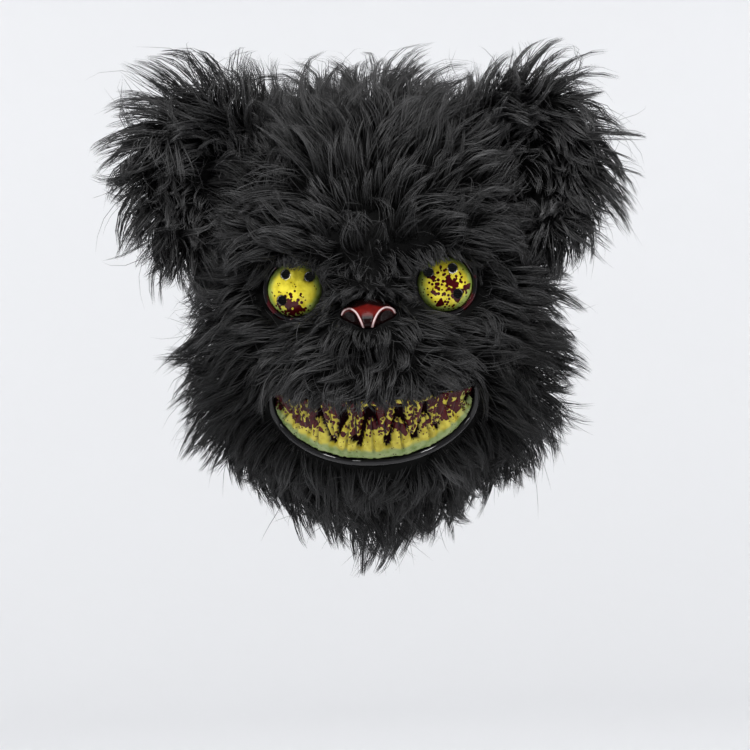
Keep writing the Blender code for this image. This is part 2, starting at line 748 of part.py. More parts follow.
def in_loop(loop, side, height):
    """Whether a point lies inside a closed outline, by counting the edges that it crosses."""
    ends = np.roll(loop, -1, axis=0)
    over = (loop[:, 1] > height) != (ends[:, 1] > height)
    rise = np.where(over, ends[:, 1] - loop[:, 1], 1.0)
    crossing = loop[:, 0] + (height - loop[:, 1]) * (ends[:, 0] - loop[:, 0]) / rise
    return bool((over & (side < crossing)).sum() % 2)


def meets_opening(points):
    """Whether a lock's root, or a low point of it, lies over an eye, the nose or the mouth."""
    for number, (side, y, height) in enumerate(points):
        if number and surface_y(side, height) - y > LOCK_PASSES:
            continue
        reach = LOCK_ROOT * LOCK_HALF_WIDTH + (0.0 if number else LOCK_MARGIN)
        if math.hypot(abs(side) - EYE_SIDE, height) < ring_radius() + reach:
            return True
        if in_loop(nose_loop(reach), side, height):
            return True
        if in_loop(mouth_loop(LIP_RADIUS + reach, UPPER_LIP_RADIUS + reach), side, height):
            return True
    return False


def ear_axes(hand):
    """An ear's middle and its across, up and forward directions."""
    turn, lean = math.radians(hand * EAR_TURN), math.radians(EAR_LEAN) * hand
    forward = np.array([-math.sin(turn), -math.cos(turn), 0.0])
    up = np.array([math.sin(lean), 0.0, math.cos(lean)])
    across = np.cross(forward, up)
    across /= np.linalg.norm(across)
    up = np.cross(across, forward)
    middle = np.array([hand * EAR_SIDE, -EAR_BACK, EAR_HEIGHT])
    return middle, across, up, forward


def near_ear(points, margin):
    """Whether any of the points lies in or close to an ear's body."""
    for hand in (-1, 1):
        middle, across, up, forward = ear_axes(hand)
        for point in points:
            away = np.asarray(point) - middle
            wide = (away @ across) / (EAR_HALF_WIDTH + margin)
            high = (away @ up) / (EAR_HALF_HEIGHT + margin)
            deep = away @ forward
            behind = EAR_BACK_MIDDLE * EAR_CUP - margin
            if wide**2 + high**2 < 1 and behind < deep < EAR_CUP + margin:
                return True
    return False


def lock_rows():
    """Roots of the face's locks in rings round the face, each ring half a step on from the last."""
    middle = np.array([0.0, MIDDLE_HEIGHT])
    fine = outline(360) - middle
    along, out = dome_walk()
    last = along[-1] - RIM_BARE
    rows = round((last - LOCK_FIRST_ROW) / (LOCK_ROW_SHARE * LOCK_SPACING)) + 1
    roots = []
    for row, distance in enumerate(np.linspace(LOCK_FIRST_ROW, last, rows)):
        share = np.interp(distance, along, out)
        girth = np.linalg.norm(np.diff(fine * share, axis=0), axis=1).sum()
        count = max(5, round(girth / LOCK_SPACING))
        for k in range(count):
            place_on = (k + 0.5 * (row % 2)) * len(fine) / count
            side, up = fine[int(place_on) % len(fine)] * share
            roots.append((side, up + MIDDLE_HEIGHT))
    return np.array(roots)


def make_face_fur():
    """The fur fabric glued on the shell: its backing, cut out round the face, and its locks."""
    fur = wall("face_fur", GAP, GAP + FUR_BACKING, "black_fur")
    front = -2 * DOME_DEPTH
    clear, thin_clear = LIP_FUR_CLEAR * LIP_RADIUS, LIP_FUR_CLEAR * UPPER_LIP_RADIUS
    mouth = mouth_loop(clear + 2 * GAP, thin_clear + 2 * GAP)
    cuts = [prism("mouth_cut", mouth, front, 0.0), prism("nose_cut", nose_loop(2 * GAP), front, 0.0)]
    for hand in (-1, 1):
        radius = ring_radius() + 2 * GAP
        reach = 4 * RING_BACK
        cut = rod("eye_cut", [(radius, -reach), (radius, reach)], FUR_CUT_SIDES)
        cuts.append(place(cut, eye_place(hand), hand * EYE_TURN))
    combine(fur, "DIFFERENCE", joined("cuts", cuts))
    locks = face_locks(fur)
    return combine(fur, "UNION", locks, self_crossing=True)


def clearance(solid, points):
    """How far the nearest of some points lies outside a closed solid, negative inside it."""
    nearest = []
    for point in points:
        _, spot, facing, _ = solid.closest_point_on_mesh(point)
        nearest.append((mathutils.Vector(point) - spot).dot(facing))
    return min(nearest)


def face_locks(backing):
    """Locks rooted in the backing, each shortened or left out where it would hide a feature."""
    roots = lock_rows()
    comb, length = comb_at(roots[:, 0], roots[:, 1])
    normals = surface_normal(roots[:, 0], roots[:, 1])
    depth = surface_y(roots[:, 0], roots[:, 1])
    bed = plug("bed", 3 * GAP)
    draw = np.random.default_rng(5)
    points, faces = [], []
    for k, (side, height) in enumerate(roots):
        out = normals[k]
        root = np.array([side, depth[k], height]) + out * (GAP + FUR_BACKING)
        root = np.array(backing.closest_point_on_mesh(root)[1]) - out * LOCK_SINK
        long = FUR_LENGTH * length[k] * draw.uniform(*LOCK_SPREAD)
        swing = draw.normal(0, COMB_SWING)
        direction = comb[k] + (swing * comb[k][2], 0.0, -swing * comb[k][0])
        size = min(1.0, LOCK_SIZE[0] + LOCK_SIZE[1] * length[k])
        for share in SHORTER_LOCKS:
            line, over, across = lock_line(root, out, direction, long * share, LOCK_LEANS)
            if meets_opening(line) or near_ear(line, LOCK_EAR_MARGIN):
                continue
            half_width, thickness = LOCK_HALF_WIDTH * size, LOCK_THICKNESS * size
            made, added = lock_mesh(line, over, across, half_width, thickness, len(points))
            lift = max(0.0, -clearance(bed, made[:3]))
            points += [point + out * lift for point in made]
            faces += added
            break
    bpy.data.objects.remove(bed)
    return add_object("locks", points, faces)


def ear_point(axes, around, out, rise):
    middle, across, up, forward = axes
    wide = EAR_HALF_WIDTH * out * math.sin(around)
    high = EAR_HALF_HEIGHT * out * math.cos(around)
    return middle + across * wide + up * high + forward * (EAR_CUP * rise)


def make_ear(name, hand):
    """A padded, cupped ear with locks over its rim and back, cut to sit on the face fur."""
    columns = EAR_SIDES
    axes = ear_axes(hand)
    angles = [k * 2 * math.pi / columns for k in range(columns)]
    points = [ear_point(axes, 0.0, 0.0, EAR_FRONT_MIDDLE)]
    for out, rise in EAR_PROFILE:
        points += [ear_point(axes, angle, out, rise) for angle in angles]
    points.append(ear_point(axes, 0.0, 0.0, EAR_BACK_MIDDLE))
    faces = [(0, 1 + k, 1 + (k + 1) % columns) for k in range(columns)]
    last = len(points) - 1
    for ring in range(len(EAR_PROFILE) - 1):
        first, second = 1 + ring * columns, 1 + (ring + 1) * columns
        for k in range(columns):
            after = (k + 1) % columns
            faces.append((first + k, second + k, second + after, first + after))
    faces += [(last - columns + k, last, last - columns + (k + 1) % columns) for k in range(columns)]
    ear = add_object(name, points, faces, "black_fur")
    combine(ear, "DIFFERENCE", plug("head_plug", 2 * GAP + FUR_BACKING))
    return combine(ear, "UNION", ear_locks(axes, hand), self_crossing=True)


def clear_of_head(points):
    """Whether a lock of an ear stays well outside the face fur and its locks."""
    for side, _, height in points:
        if rim_share(side, height) < EAR_LOCK_CLEAR:
            return False
    return True


def ear_locks(axes, hand):
    middle, _, _, forward = axes
    draw = np.random.default_rng(11 if hand > 0 else 12)
    points, faces = [], []
    for out, rise, count, outward, ahead, long in EAR_LOCK_ROWS:
        for k in range(count):
            around = (k + 0.5 * (count % 2)) * 2 * math.pi / count
            radial = ear_point(axes, around, 1.0, 0.0) - middle
            radial /= np.linalg.norm(radial)
            normal = radial * outward + forward * ahead
            normal /= np.linalg.norm(normal)
            root = ear_point(axes, around, out, rise) - normal * 2 * LOCK_SINK
            droop = radial * EAR_LOCK_FLARE - (0.0, 0.0, EAR_LOCK_DROOP)
            droop += draw.normal(0, COMB_SWING, 3)
            length = EAR_FUR_LENGTH * long * draw.uniform(*LOCK_SPREAD)
            line, over, wide = lock_line(root, normal, droop, length, EAR_LOCK_LEANS)
            if not clear_of_head(line):
                continue
            made, added = lock_mesh(line, over, wide, LOCK_HALF_WIDTH, LOCK_THICKNESS, len(points))
            points += made
            faces += added
    return add_object("ear_locks", points, faces)


def strap_wall(depths):
    """Side of the strap's outer face against the shell's inner wall, at depths from the rim."""
    sides = []
    for y in np.minimum(depths, -0.0005):
        narrowest = HALF_WIDTH
        for height in STRAP_HEIGHT + STRAP_WIDTH * np.array([-0.5, 0.0, 0.5]):
            low, high = 0.5 * HALF_WIDTH, 1.1 * HALF_WIDTH
            for _ in range(40):
                middle = (low + high) / 2
                inside = rim_share(middle, height) < 1 and surface_y(middle, height) < y
                low, high = (middle, high) if inside else (low, middle)
            slope = surface_normal(np.array(low), np.array(height)).reshape(3)[0]
            narrowest = min(narrowest, low - (SHELL_WALL + STRAP_CLEARANCE) / slope)
        sides.append(narrowest)
    return np.array(sides)


def make_strap():
    """The elastic band behind the head, with its ends inside the shell's sides."""
    ahead = np.linspace(-STRAP_OVERLAP, 0.0, 5)
    start = strap_wall(ahead)
    turns = np.linspace(0, math.pi, STRAP_POINTS + 1)[1:-1]
    left = [(-side, y) for side, y in zip(start, ahead)]
    behind = [(-start[-1] * math.cos(a), STRAP_REACH * math.sin(a)) for a in turns]
    right = [(side, y) for side, y in zip(start[::-1], ahead[::-1])]
    outer = np.array(left + behind + right)
    along = np.gradient(outer, axis=0)
    along /= np.linalg.norm(along, axis=1, keepdims=True)
    inward = np.stack([along[:, 1], -along[:, 0]], axis=1)
    inner = outer + inward * STRAP_THICKNESS
    low, high = STRAP_HEIGHT - STRAP_WIDTH / 2, STRAP_HEIGHT + STRAP_WIDTH / 2
    points = []
    for (ox, oy), (ix, iy) in zip(outer, inner):
        points += [(ox, oy, low), (ox, oy, high), (ix, iy, high), (ix, iy, low)]
    count = len(outer)
    faces = [(0, 1, 2, 3), tuple(range(4 * count - 1, 4 * count - 5, -1))]
    for k in range(count - 1):
        for j in range(4):
            after = (j + 1) % 4
            faces.append((4 * k + j, 4 * k + after, 4 * k + 4 + after, 4 * k + 4 + j))
    strap = add_object("strap", points, faces, "elastic")
    return combine(strap, "DIFFERENCE", *[rivet_hole(hand) for hand in (-1, 1)])


def make_rivet(name, hand):
    """A rivet through the strap and the shell, with its head on the strap."""
    position, turn = rivet_place(hand)
    head_back = STRAP_THICKNESS + GAP
    tip = -(STRAP_CLEARANCE + SHELL_WALL)
    profile = [
        (RIVET_RADIUS, tip),
        (RIVET_RADIUS, head_back),
        (RIVET_HEAD_RADIUS, head_back),
        (RIVET_HEAD_TAPER * RIVET_HEAD_RADIUS, head_back + RIVET_HEAD),
    ]
    return place(rod(name, profile, SMALL_SIDES, "steel"), position, turn)


def seat_depth():
    """Depth of the shell's inner wall at the forehead, where the origin goes."""
    side, height = np.array(0.0), np.array(SEAT_HEIGHT)
    normal = surface_normal(side, height).reshape(3)
    return float(surface_y(side, height)) + SHELL_WALL / -normal[1]


def main():
    for old in list(bpy.data.objects):
        bpy.data.objects.remove(old)
    pieces = [make_shell(), make_nose(), make_teeth(), make_face_fur(), make_strap()]
    for side_name, hand in (("left", -1), ("right", 1)):
        pieces.append(make_eye("eye_" + side_name, hand))
        pieces.append(make_ear("ear_" + side_name, hand))
        pieces.append(make_rivet("rivet_" + side_name, hand))
    frame = bpy.data.objects.new("frame", None)
    bpy.context.scene.collection.objects.link(frame)
    frame.location = (0.0, -seat_depth(), -SEAT_HEIGHT)
    for piece in pieces:
        piece.parent = frame
        piece.data.shade_smooth()
        piece.data.set_sharp_from_angle(angle=math.radians(SMOOTH_ANGLE))


main()
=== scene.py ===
import math

import bmesh
import bpy
import numpy as np
from mathutils import Matrix, Vector, kdtree


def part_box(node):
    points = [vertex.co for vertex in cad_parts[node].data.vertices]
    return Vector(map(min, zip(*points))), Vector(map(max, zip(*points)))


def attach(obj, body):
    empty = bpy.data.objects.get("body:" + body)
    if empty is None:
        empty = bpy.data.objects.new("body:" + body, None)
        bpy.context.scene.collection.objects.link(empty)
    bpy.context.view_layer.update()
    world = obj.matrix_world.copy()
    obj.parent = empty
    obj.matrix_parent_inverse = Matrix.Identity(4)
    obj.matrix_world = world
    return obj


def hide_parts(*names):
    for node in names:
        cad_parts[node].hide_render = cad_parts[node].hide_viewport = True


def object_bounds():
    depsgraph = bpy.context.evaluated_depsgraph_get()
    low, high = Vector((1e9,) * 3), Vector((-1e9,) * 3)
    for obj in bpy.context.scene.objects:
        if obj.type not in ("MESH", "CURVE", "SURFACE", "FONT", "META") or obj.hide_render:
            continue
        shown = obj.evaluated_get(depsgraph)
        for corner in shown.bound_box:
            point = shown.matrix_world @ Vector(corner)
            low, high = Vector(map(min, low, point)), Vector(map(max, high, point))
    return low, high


# The looks of a plush bear mask: long black pile, strand by strand, round a glossy painted face.
# Face heights are written from the eye line and depths from the plane of the shell's rim, as in
# the part's source. Every length is in metres unless its name says otherwise.

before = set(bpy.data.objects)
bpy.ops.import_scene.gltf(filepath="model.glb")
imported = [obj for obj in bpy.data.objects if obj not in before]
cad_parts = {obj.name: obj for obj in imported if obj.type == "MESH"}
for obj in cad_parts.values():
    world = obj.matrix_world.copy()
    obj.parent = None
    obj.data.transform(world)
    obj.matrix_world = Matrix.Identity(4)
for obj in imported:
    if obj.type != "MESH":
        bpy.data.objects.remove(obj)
CAD_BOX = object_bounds()

# Form of the face, as in the part's source
HALF_WIDTH = 0.097
CROWN_HEIGHT = 0.108
CHIN_DROP = 0.142
DOME_DEPTH = 0.094
SHELL_WALL = 0.0016
WIDTH_POWER = 2.6
DEPTH_POWER = 2.2
MUZZLE_HALF_WIDTH = 0.064
MUZZLE_HALF_HEIGHT = 0.062
MUZZLE_DROP = 0.066
MUZZLE_RISE = 0.040
NOSE_DROP = 0.017
NOSE_HALF_WIDTH = 0.0165
NOSE_HALF_HEIGHT = 0.0090
NOSE_RISE = 0.0085
NOSE_TAPER = 0.42
EYE_SIDE = 0.0445
EYE_RADIUS = 0.0165
BROW_RISE = 0.011
CHEEK_RISE = 0.009
EYE_TURN = math.radians(9.0)
EYE_BULGE = 0.0075
EYE_DOME_TURN = 1.30
EYE_WALL = 0.0015
EYE_HOLE_RADIUS = 0.0029
RING_WALL = 0.0030
RING_FRONT = 0.0030
RING_BACK = 0.0070
MOUTH_HALF_WIDTH = 0.060
MOUTH_DROP = 0.0640
MOUTH_DEPTH = 0.0385
MOUTH_TOP_SAG = 0.0060
MOUTH_CORNER = 0.0035
UPPER_LIP_RADIUS = 0.0014
TEETH_PLATE = 0.0015
FUR_BACKING = 0.0025
GAP = 0.0003
EAR_SIDE = 0.097
EAR_HEIGHT = 0.068
EAR_BACK = 0.036
EAR_HALF_WIDTH = 0.041
EAR_HALF_HEIGHT = 0.049
EAR_CUP = 0.018
EAR_TURN = math.radians(12.0)
EAR_LEAN = math.radians(10.0)
STRAP_HEIGHT = 0.006
STRAP_WIDTH = 0.030
STRAP_THICKNESS = 0.0012
STRAP_REACH = 0.105
STRAP_OVERLAP = 0.038
STRAP_CLEARANCE = 0.0006

# See-through holes of an eye: outward and upward from its middle, as shares of EYE_RADIUS
EYE_HOLES = ((-0.62, 0.44), (0.26, 0.56), (0.42, -0.38))

# Teeth, as in the part's source
TEETH_PER_ROW = 9
TEETH_SPREAD = 1.32
TOOTH_LEAN = 0.10

# The mouth's lower lip and the teeth's edge behind it, a little slimmer than the solids'
LIP_RADIUS = 0.0022
TEETH_FLANGE = 0.0028

# Rows of teeth: where they root and how far their tips reach, from 0 at the opening's lower
# edge to 1 at its upper edge, how many fewer than TEETH_PER_ROW, their half width as a share
# of a tooth's place, and how far they stand out
TEETH_ROWS = (
    (0.0, 0.74, 0, 1.10, 0.0043),
    (1.0, 0.24, 1, 0.92, 0.0036),
)
TOOTH_GROOVE = 0.00065

# How teeth differ: what their random draws start from, how far their tips drift to a side, and
# shares of their reach and of their half width
TEETH_SEED = 3
TIP_DRIFT = 0.0009
REACH_SPREAD = (0.86, 1.10)
TOOTH_WIDTH_SPREAD = (0.88, 1.12)

# The rolled gums: how far their middle lies from the opening's edge, half width and rise
LOWER_GUM = (0.0034, 0.0036, 0.0040)
UPPER_GUM = (0.0010, 0.0040, 0.0028)

# Pressed breath holes between the lower teeth, dark with painted shade: side and height
BREATH_HOLES = ((-0.0110, -0.0900), (0.0088, -0.0905))
BREATH_HOLE_RADIUS = 0.0021

# Spatter on the eyes: outward and upward from the middle and reach, as shares of EYE_RADIUS
EYE_SPLASHES = {"eye_left": (0.10, -0.55, 0.85), "eye_right": (0.05, -0.15, 1.05)}

# The edge of a nostril's wing, from its outer end over its top to the nose's foot: outward
# and upward from the nose's middle, as shares of its half sizes
NOSE_WING = ((0.96, 0.00), (0.86, 0.26), (0.64, 0.36), (0.42, 0.10), (0.26, -0.40), (0.16, -0.92))

# The shell's rim on its right, from the crown to the chin: side as a share of HALF_WIDTH, and
# height as one of CROWN_HEIGHT over the eye line and of CHIN_DROP under it
OUTLINE_ROWS = (
    (0.00, 1.00),
    (0.37, 0.97),
    (0.68, 0.84),
    (0.85, 0.60),
    (0.93, 0.33),
    (0.97, 0.05),
    (1.00, -0.22),
    (0.98, -0.46),
    (0.87, -0.64),
    (0.67, -0.80),
    (0.43, -0.92),
    (0.20, -0.98),
    (0.00, -1.00),
)

# Rises and dents of the face: side, height, half width, half height, rise and squareness
RELIEF_ROWS = (
    (0.0, -MUZZLE_DROP, MUZZLE_HALF_WIDTH, MUZZLE_HALF_HEIGHT, MUZZLE_RISE, 2.4),
    (0.0, -NOSE_DROP, 1.6 * NOSE_HALF_WIDTH, 2.8 * NOSE_HALF_HEIGHT, 0.35 * MUZZLE_RISE, 2.0),
    (0.0, 0.25 * EYE_RADIUS, 0.40 * EYE_SIDE, 0.80 * EYE_SIDE, 0.80 * BROW_RISE, 2.0),
    (0.95 * EYE_SIDE, 1.55 * EYE_RADIUS, EYE_SIDE, 1.10 * EYE_RADIUS, BROW_RISE, 2.0),
    (EYE_SIDE, 0.0, 1.70 * EYE_RADIUS, 1.60 * EYE_RADIUS, -0.55 * EYE_RADIUS, 2.0),
    (0.72 * HALF_WIDTH, -0.35 * CHIN_DROP, 0.30 * HALF_WIDTH, 0.25 * CHIN_DROP, CHEEK_RISE, 2.0),
    (0.0, -0.88 * CHIN_DROP, 0.35 * HALF_WIDTH, 0.17 * CHIN_DROP, 0.90 * CHEEK_RISE, 2.0),
)

# Where the relief starts to sink into the dome, and where it ends, from 0 in the middle of the
# face to 1 at its rim
RELIEF_ENDS = (0.78, 0.97)

# An ear from the middle of its front, over the rim, to the middle of its back: distance out as
# a share of its half sizes, and height to the front as a share of EAR_CUP
EAR_PROFILE = (
    (0.00, 0.00),
    (0.36, 0.04),
    (0.63, 0.28),
    (0.83, 0.70),
    (0.95, 0.93),
    (1.00, 0.66),
    (0.95, 0.22),
    (0.78, -0.22),
    (0.45, -0.56),
    (0.00, -0.70),
)

# How the pile lies on the face, mirrored on its left half: side and height in mm from between
# the eyes, which way it is combed (sideways, upward), how many degrees it leans from upright
# at the root and at the tip, and its length in mm
PILE_ROWS = (
    (0, 104, 0.10, 1.00, 20, 66, 47),
    (32, 100, 0.30, 1.00, 22, 68, 47),
    (0, 70, 0.15, 1.00, 34, 74, 38),
    (0, 40, 0.25, 1.00, 36, 78, 34),
    (0, 22, 0.30, 0.90, 38, 80, 25),
    (0, 10, 0.15, -0.80, 40, 80, 14),
    (0, -4, 0.15, -0.90, 50, 80, 12),
    (20, -8, 0.70, -0.50, 50, 80, 14),
    (28, 17, 0.50, -0.80, 34, 78, 13),
    (45, 21, 0.50, -0.85, 32, 76, 14),
    (60, 18, 0.95, -0.50, 32, 76, 16),
    (24, 30, 0.80, 0.75, 36, 78, 32),
    (46, 32, 0.95, 0.45, 34, 76, 34),
    (72, 26, 1.00, 0.10, 36, 76, 36),
    (40, 66, 0.60, 0.80, 36, 78, 40),
    (70, 60, 0.85, 0.50, 34, 74, 38),
    (60, 96, 0.50, 0.90, 22, 66, 45),
    (88, 6, 1.00, -0.20, 30, 64, 38),
    (66, -10, 0.90, -0.45, 44, 80, 26),
    (45, -25, 0.50, -0.85, 46, 82, 24),
    (92, -35, 0.90, -0.45, 26, 60, 41),
    (66, -45, 0.65, -0.75, 38, 78, 34),
    (92, -68, 0.80, -0.60, 28, 62, 43),
    (20, -32, 0.50, -0.80, 44, 80, 20),
    (0, -33, 0.00, -1.00, 48, 82, 17),
    (0, -56, 0.00, -1.00, 44, 84, 26),
    (30, -50, 0.45, -0.85, 40, 80, 31),
    (52, -55, 0.70, -0.70, 40, 80, 31),
    (80, -92, 0.50, -0.85, 34, 74, 35),
    (58, -113, 0.35, -0.95, 42, 80, 28),
    (0, -113, 0.00, -1.00, 48, 82, 24),
    (30, -113, 0.20, -1.00, 46, 80, 27),
    (0, -134, 0.00, -1.00, 34, 72, 38),
    (40, -132, 0.20, -1.00, 40, 78, 30),
)

# How the pile lies on an ear, from the middle of its front to the middle of its back: place
# along the profile as a share, lean at the root and at the tip in degrees, length in mm, and
# how closely it grows
EAR_PILE_ROWS = (
    (0.00, 34, 74, 15, 0.75),
    (0.25, 32, 74, 20, 0.80),
    (0.40, 28, 78, 31, 1.50),
    (0.52, 28, 82, 37, 2.10),
    (0.66, 30, 84, 35, 1.60),
    (0.82, 34, 80, 27, 0.80),
    (1.00, 36, 76, 24, 0.70),
)

# Where the pile grows closer: side, height, half width, half height, gain and squareness
CLOSER_ROWS = (
    (EYE_SIDE, 0.023, 0.030, 0.009, 0.9, 2.0),
    (0.0, -0.055, 0.062, 0.020, 0.5, 2.4),
    (0.0, 0.016, 0.022, 0.012, 0.8, 2.0),
)
CROWN_CLOSER = 0.7

# Strands that hang beside an opening: how many, how many degrees they lean from upright at the
# root and at the tip, and their length
FRINGES = {
    "brow": (260, (38, 84), 0.0155),
    "nose": (200, (14, 100), 0.0235),
    "under_nose": (190, (30, 84), 0.0125),
    "lip": (700, (46, 82), 0.0200),
}

# How strands gather, into wisps and then into locks: the share of strands that lead one, how
# far its heading, its curl (radians), its lean (degrees) and its length (share) wander, how
# closely its tips meet and how late its strands draw together
GATHER_ROWS = (
    (0.028, 0.34, 0.75, 9.0, 0.12, 0.50, 1.6),
    (0.100, 0.22, 0.40, 5.0, 0.09, 0.90, 1.0),
)

# How many strands grow on the face and on an ear, and what their random draws start from
FACE_STRANDS = 18540
EAR_STRANDS = 4700
FACE_SEED = 7
EAR_SEEDS = {"ear_left": 32, "ear_right": 31}

# Shape of a strand: its frizz is how far it wanders over its length, its droop a share of the
# way that it grows, and its lean is held between two angles from upright, in radians. Its
# material's map starts MAP_EDGE in from the picture's edges.
STRAND_STEPS = 5
STRAND_HALF_WIDTH = 0.00033
FRIZZ = 0.0007
DROOP = 0.28
LEAN_LIMITS = (0.1, 1.75)
MAP_EDGE = 0.02

# How single strands differ: lean in degrees, heading and curl in radians, and shares of their
# length, of their half width, of the pull of their wisp or lock, and of their shade, which is
# then raised to SHADE_POWER
LEAN_WANDER = 4
TURN_WANDER = (0.10, 0.20)
LENGTH_SPREAD = (0.80, 1.10)
WIDTH_SPREAD = (0.80, 1.25)
FOLLOW_SPREAD = (0.80, 1.10)
OWN_SHADE = 0.35
SHADE_POWER = 1.6

# Loose strands: the share of them, and how they stand out from the others
LOOSE_SHARE = 0.045
LOOSE_LENGTH = 1.28
LOOSE_CURL = 1.5
LOOSE_WIDTH = 0.6
LOOSE_FOLLOW = 0.15

# Which way the pile lies: how far it is combed back beside its other directions, over what
# distance the rows of PILE_ROWS blend, and how far a fringe is combed backward and upward
COMB_BACKWARD = 0.35
COMB_BLEND = 0.004
FRINGE_COMB = (-0.2, -1.0)

# How much painted shade darkens the cheeks' and the chin's pile, and shares of a fringe's shade,
# lowered as painted shade, and of its width
CHEEK_PAINTED_SHADE = 0.90
CHIN_PAINTED_SHADE = 0.45
FRINGE_PAINTED_SHADE = 0.35
FRINGE_WIDTH = 1.35

# How deep strands root under the surface that they grow on
ROOT_SINK = 0.001

# The pile's edge at an opening: how many lip radii from the mouth it starts, and how uneven it
# is. Strands are tested at STEP_PARTS places for each point of their path. The first ROOT_PARTS
# places may cross the edge, and a strand stays where more than SHORTEST of it is left.
LIP_FUR_CLEAR = 1.9
RAGGED = 0.0015
STEP_PARTS = 5
ROOT_PARTS = 4
SHORTEST = 0.25

# Pile of the ears: shares of its length, of its way outward where it is combed, and of shade
# added to its front as painted light
EAR_GROWTH = {"ear_left": 1.10, "ear_right": 0.98}
EAR_INNER_GROWTH = 0.10
EAR_UPWARD_GROWTH = 0.34
EAR_COMB_DOWN = 0.20
EAR_COMB_BACK = 0.35
EAR_SWEEP = 1.10
EAR_FRONT_PAINTED_LIGHT = 0.60

# Ground cloth: how far it is stretched, how much of its square it uses, and how many lip radii
# it is cut back from the mouth
CLOTH_LIP_CLEAR = 1.6

# Where the eyes' paint is taken from its pattern
EYE_PAINT_PLACES = {"left": (0.31, 0.0, 0.12), "right": (0.05, 0.0, 0.40)}

# Softboxes: place, size and power
SOFTBOXES = {
    "softbox_left": ((-1.15, -1.6, 1.35), (0.5, 0.7), 42.0),
    "softbox_right": ((1.25, -1.5, 1.25), (0.5, 0.7), 37.0),
    "softbox_top": ((0.0, -0.7, 1.7), (1.4, 0.9), 30.0),
}

# Camera, whose frame spans FRAME_WIDTH at the mask
CAMERA_DISTANCE = 1.60
FRAME_WIDTH = 0.450
SENSOR_MM = 36.0
CAMERA_ROLL = math.radians(2.1)
CAMERA_TURN = math.radians(2.0)
AIM_SIDE = 0.0012
AIM_BELOW_EYES = 0.0530

# The mask's two sides as the viewer sees them, and the sign of their places from its middle
HANDS = {"left": -1, "right": 1}

# The place of the face in the frame: the shell's rim plane, and the eye line below its crown
SHELL_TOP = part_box("shell")[1]
FACE_ORIGIN = np.array([0.0, SHELL_TOP.y, SHELL_TOP.z - CROWN_HEIGHT])

# The room round the part's solids that the pile keeps to, and how far in from its limits the
# pile starts to be drawn in
ROOM = 0.03 * (np.array(CAD_BOX[1]) - np.array(CAD_BOX[0])) + 0.009
ROOM_LOW = np.array(CAD_BOX[0]) - ROOM
ROOM_HIGH = np.array(CAD_BOX[1]) + ROOM
ROOM_EDGE = 0.010


# Form of the face


def smooth_step(low, high, value):
    share = np.clip((value - low) / (high - low), 0.0, 1.0)
    return share * share * (3 - 2 * share)


def unit(vectors):
    return vectors / np.maximum(np.linalg.norm(vectors, axis=-1, keepdims=True), 1e-12)


def circle(count):
    """Angles of count even steps round a circle."""
    return np.arange(count) * 2 * math.pi / count


def spline(points, places):
    """Points of a smooth curve (Catmull-Rom) through points, at places counted from the first."""
    points = np.asarray(points, float)
    last = len(points) - 1
    first = np.clip(np.floor(places).astype(int), 0, last - 1)
    t = (places - first)[:, None]
    before, start, end, after = (points[np.clip(first + k, 0, last)] for k in (-1, 0, 1, 2))
    curve = 2 * start + (end - before) * t + (2 * before - 5 * start + 4 * end - after) * t**2
    return (curve + (3 * start - before - 3 * end + after) * t**3) / 2


def outline(count):
    """The shell's rim as (side, height), clockwise from the crown as the viewer sees it."""
    drop = [CROWN_HEIGHT if up > 0 else CHIN_DROP for _, up in OUTLINE_ROWS]
    right = [(side * HALF_WIDTH, up * size) for (side, up), size in zip(OUTLINE_ROWS, drop)]
    left = [(-side, height) for side, height in right[-2:0:-1]]
    rows = right + left
    wrapped = rows[-1:] + rows + rows[:2]
    return spline(wrapped, 1 + np.arange(count) * len(rows) / count)


MIDDLE_HEIGHT = (CROWN_HEIGHT - CHIN_DROP) / 2
FINE_OUTLINE = outline(720) - (0.0, MIDDLE_HEIGHT)
FINE_ANGLES = np.unwrap(np.arctan2(FINE_OUTLINE[:, 0], FINE_OUTLINE[:, 1]))
FINE_RADII = np.hypot(FINE_OUTLINE[:, 0], FINE_OUTLINE[:, 1])


def rim_share(side, height):
    """How far out a point of the face lies: 0 in the middle and 1 at the rim."""
    up = height - MIDDLE_HEIGHT
    angle = np.mod(np.arctan2(side, up), 2 * math.pi)
    radius = np.interp(angle, FINE_ANGLES, FINE_RADII, period=2 * math.pi)
    return np.hypot(side, up) / radius


def bump(across, up, power):
    """1 in the middle, falling smoothly to 0 on the superellipse where across and up reach 1."""
    reach = (np.abs(across) ** power + np.abs(up) ** power) ** (1 / power)
    return (1 - np.clip(reach, 0, 1) ** 3) ** 1.5


def add_bumps(rows, side, height, total=0.0):
    """The bumps of a table at places of the face, added to total. Those off its middle mirror."""
    for across, up, half_width, half_height, peak, power in rows:
        away = side if across == 0 else np.abs(side) - across
        total = total + peak * bump(away / half_width, (height - up) / half_height, power)
    return total


def surface_y(side, height):
    """Depth of the shell's outer surface, forward of the rim plane and so negative."""
    share = np.clip(rim_share(side, height), 0, 1)
    rise = add_bumps(RELIEF_ROWS, side, height) * (1 - smooth_step(*RELIEF_ENDS, share))
    return -DOME_DEPTH * (1 - share**WIDTH_POWER) ** (1 / DEPTH_POWER) - rise


def surface_normal(side, height):
    """Outward unit normal of the shell's outer surface."""
    step = 0.0004
    share = rim_share(side, height)
    inward = np.minimum(1.0, 0.992 / np.maximum(share, 1e-6))
    side, height = side * inward, MIDDLE_HEIGHT + (height - MIDDLE_HEIGHT) * inward
    slope_side = (surface_y(side + step, height) - surface_y(side - step, height)) / (2 * step)
    slope_up = (surface_y(side, height + step) - surface_y(side, height - step)) / (2 * step)
    normal = np.stack([slope_side, -np.ones_like(slope_side), slope_up], axis=-1)
    normal[share > 0.999, 1] = 0.0
    return unit(normal)


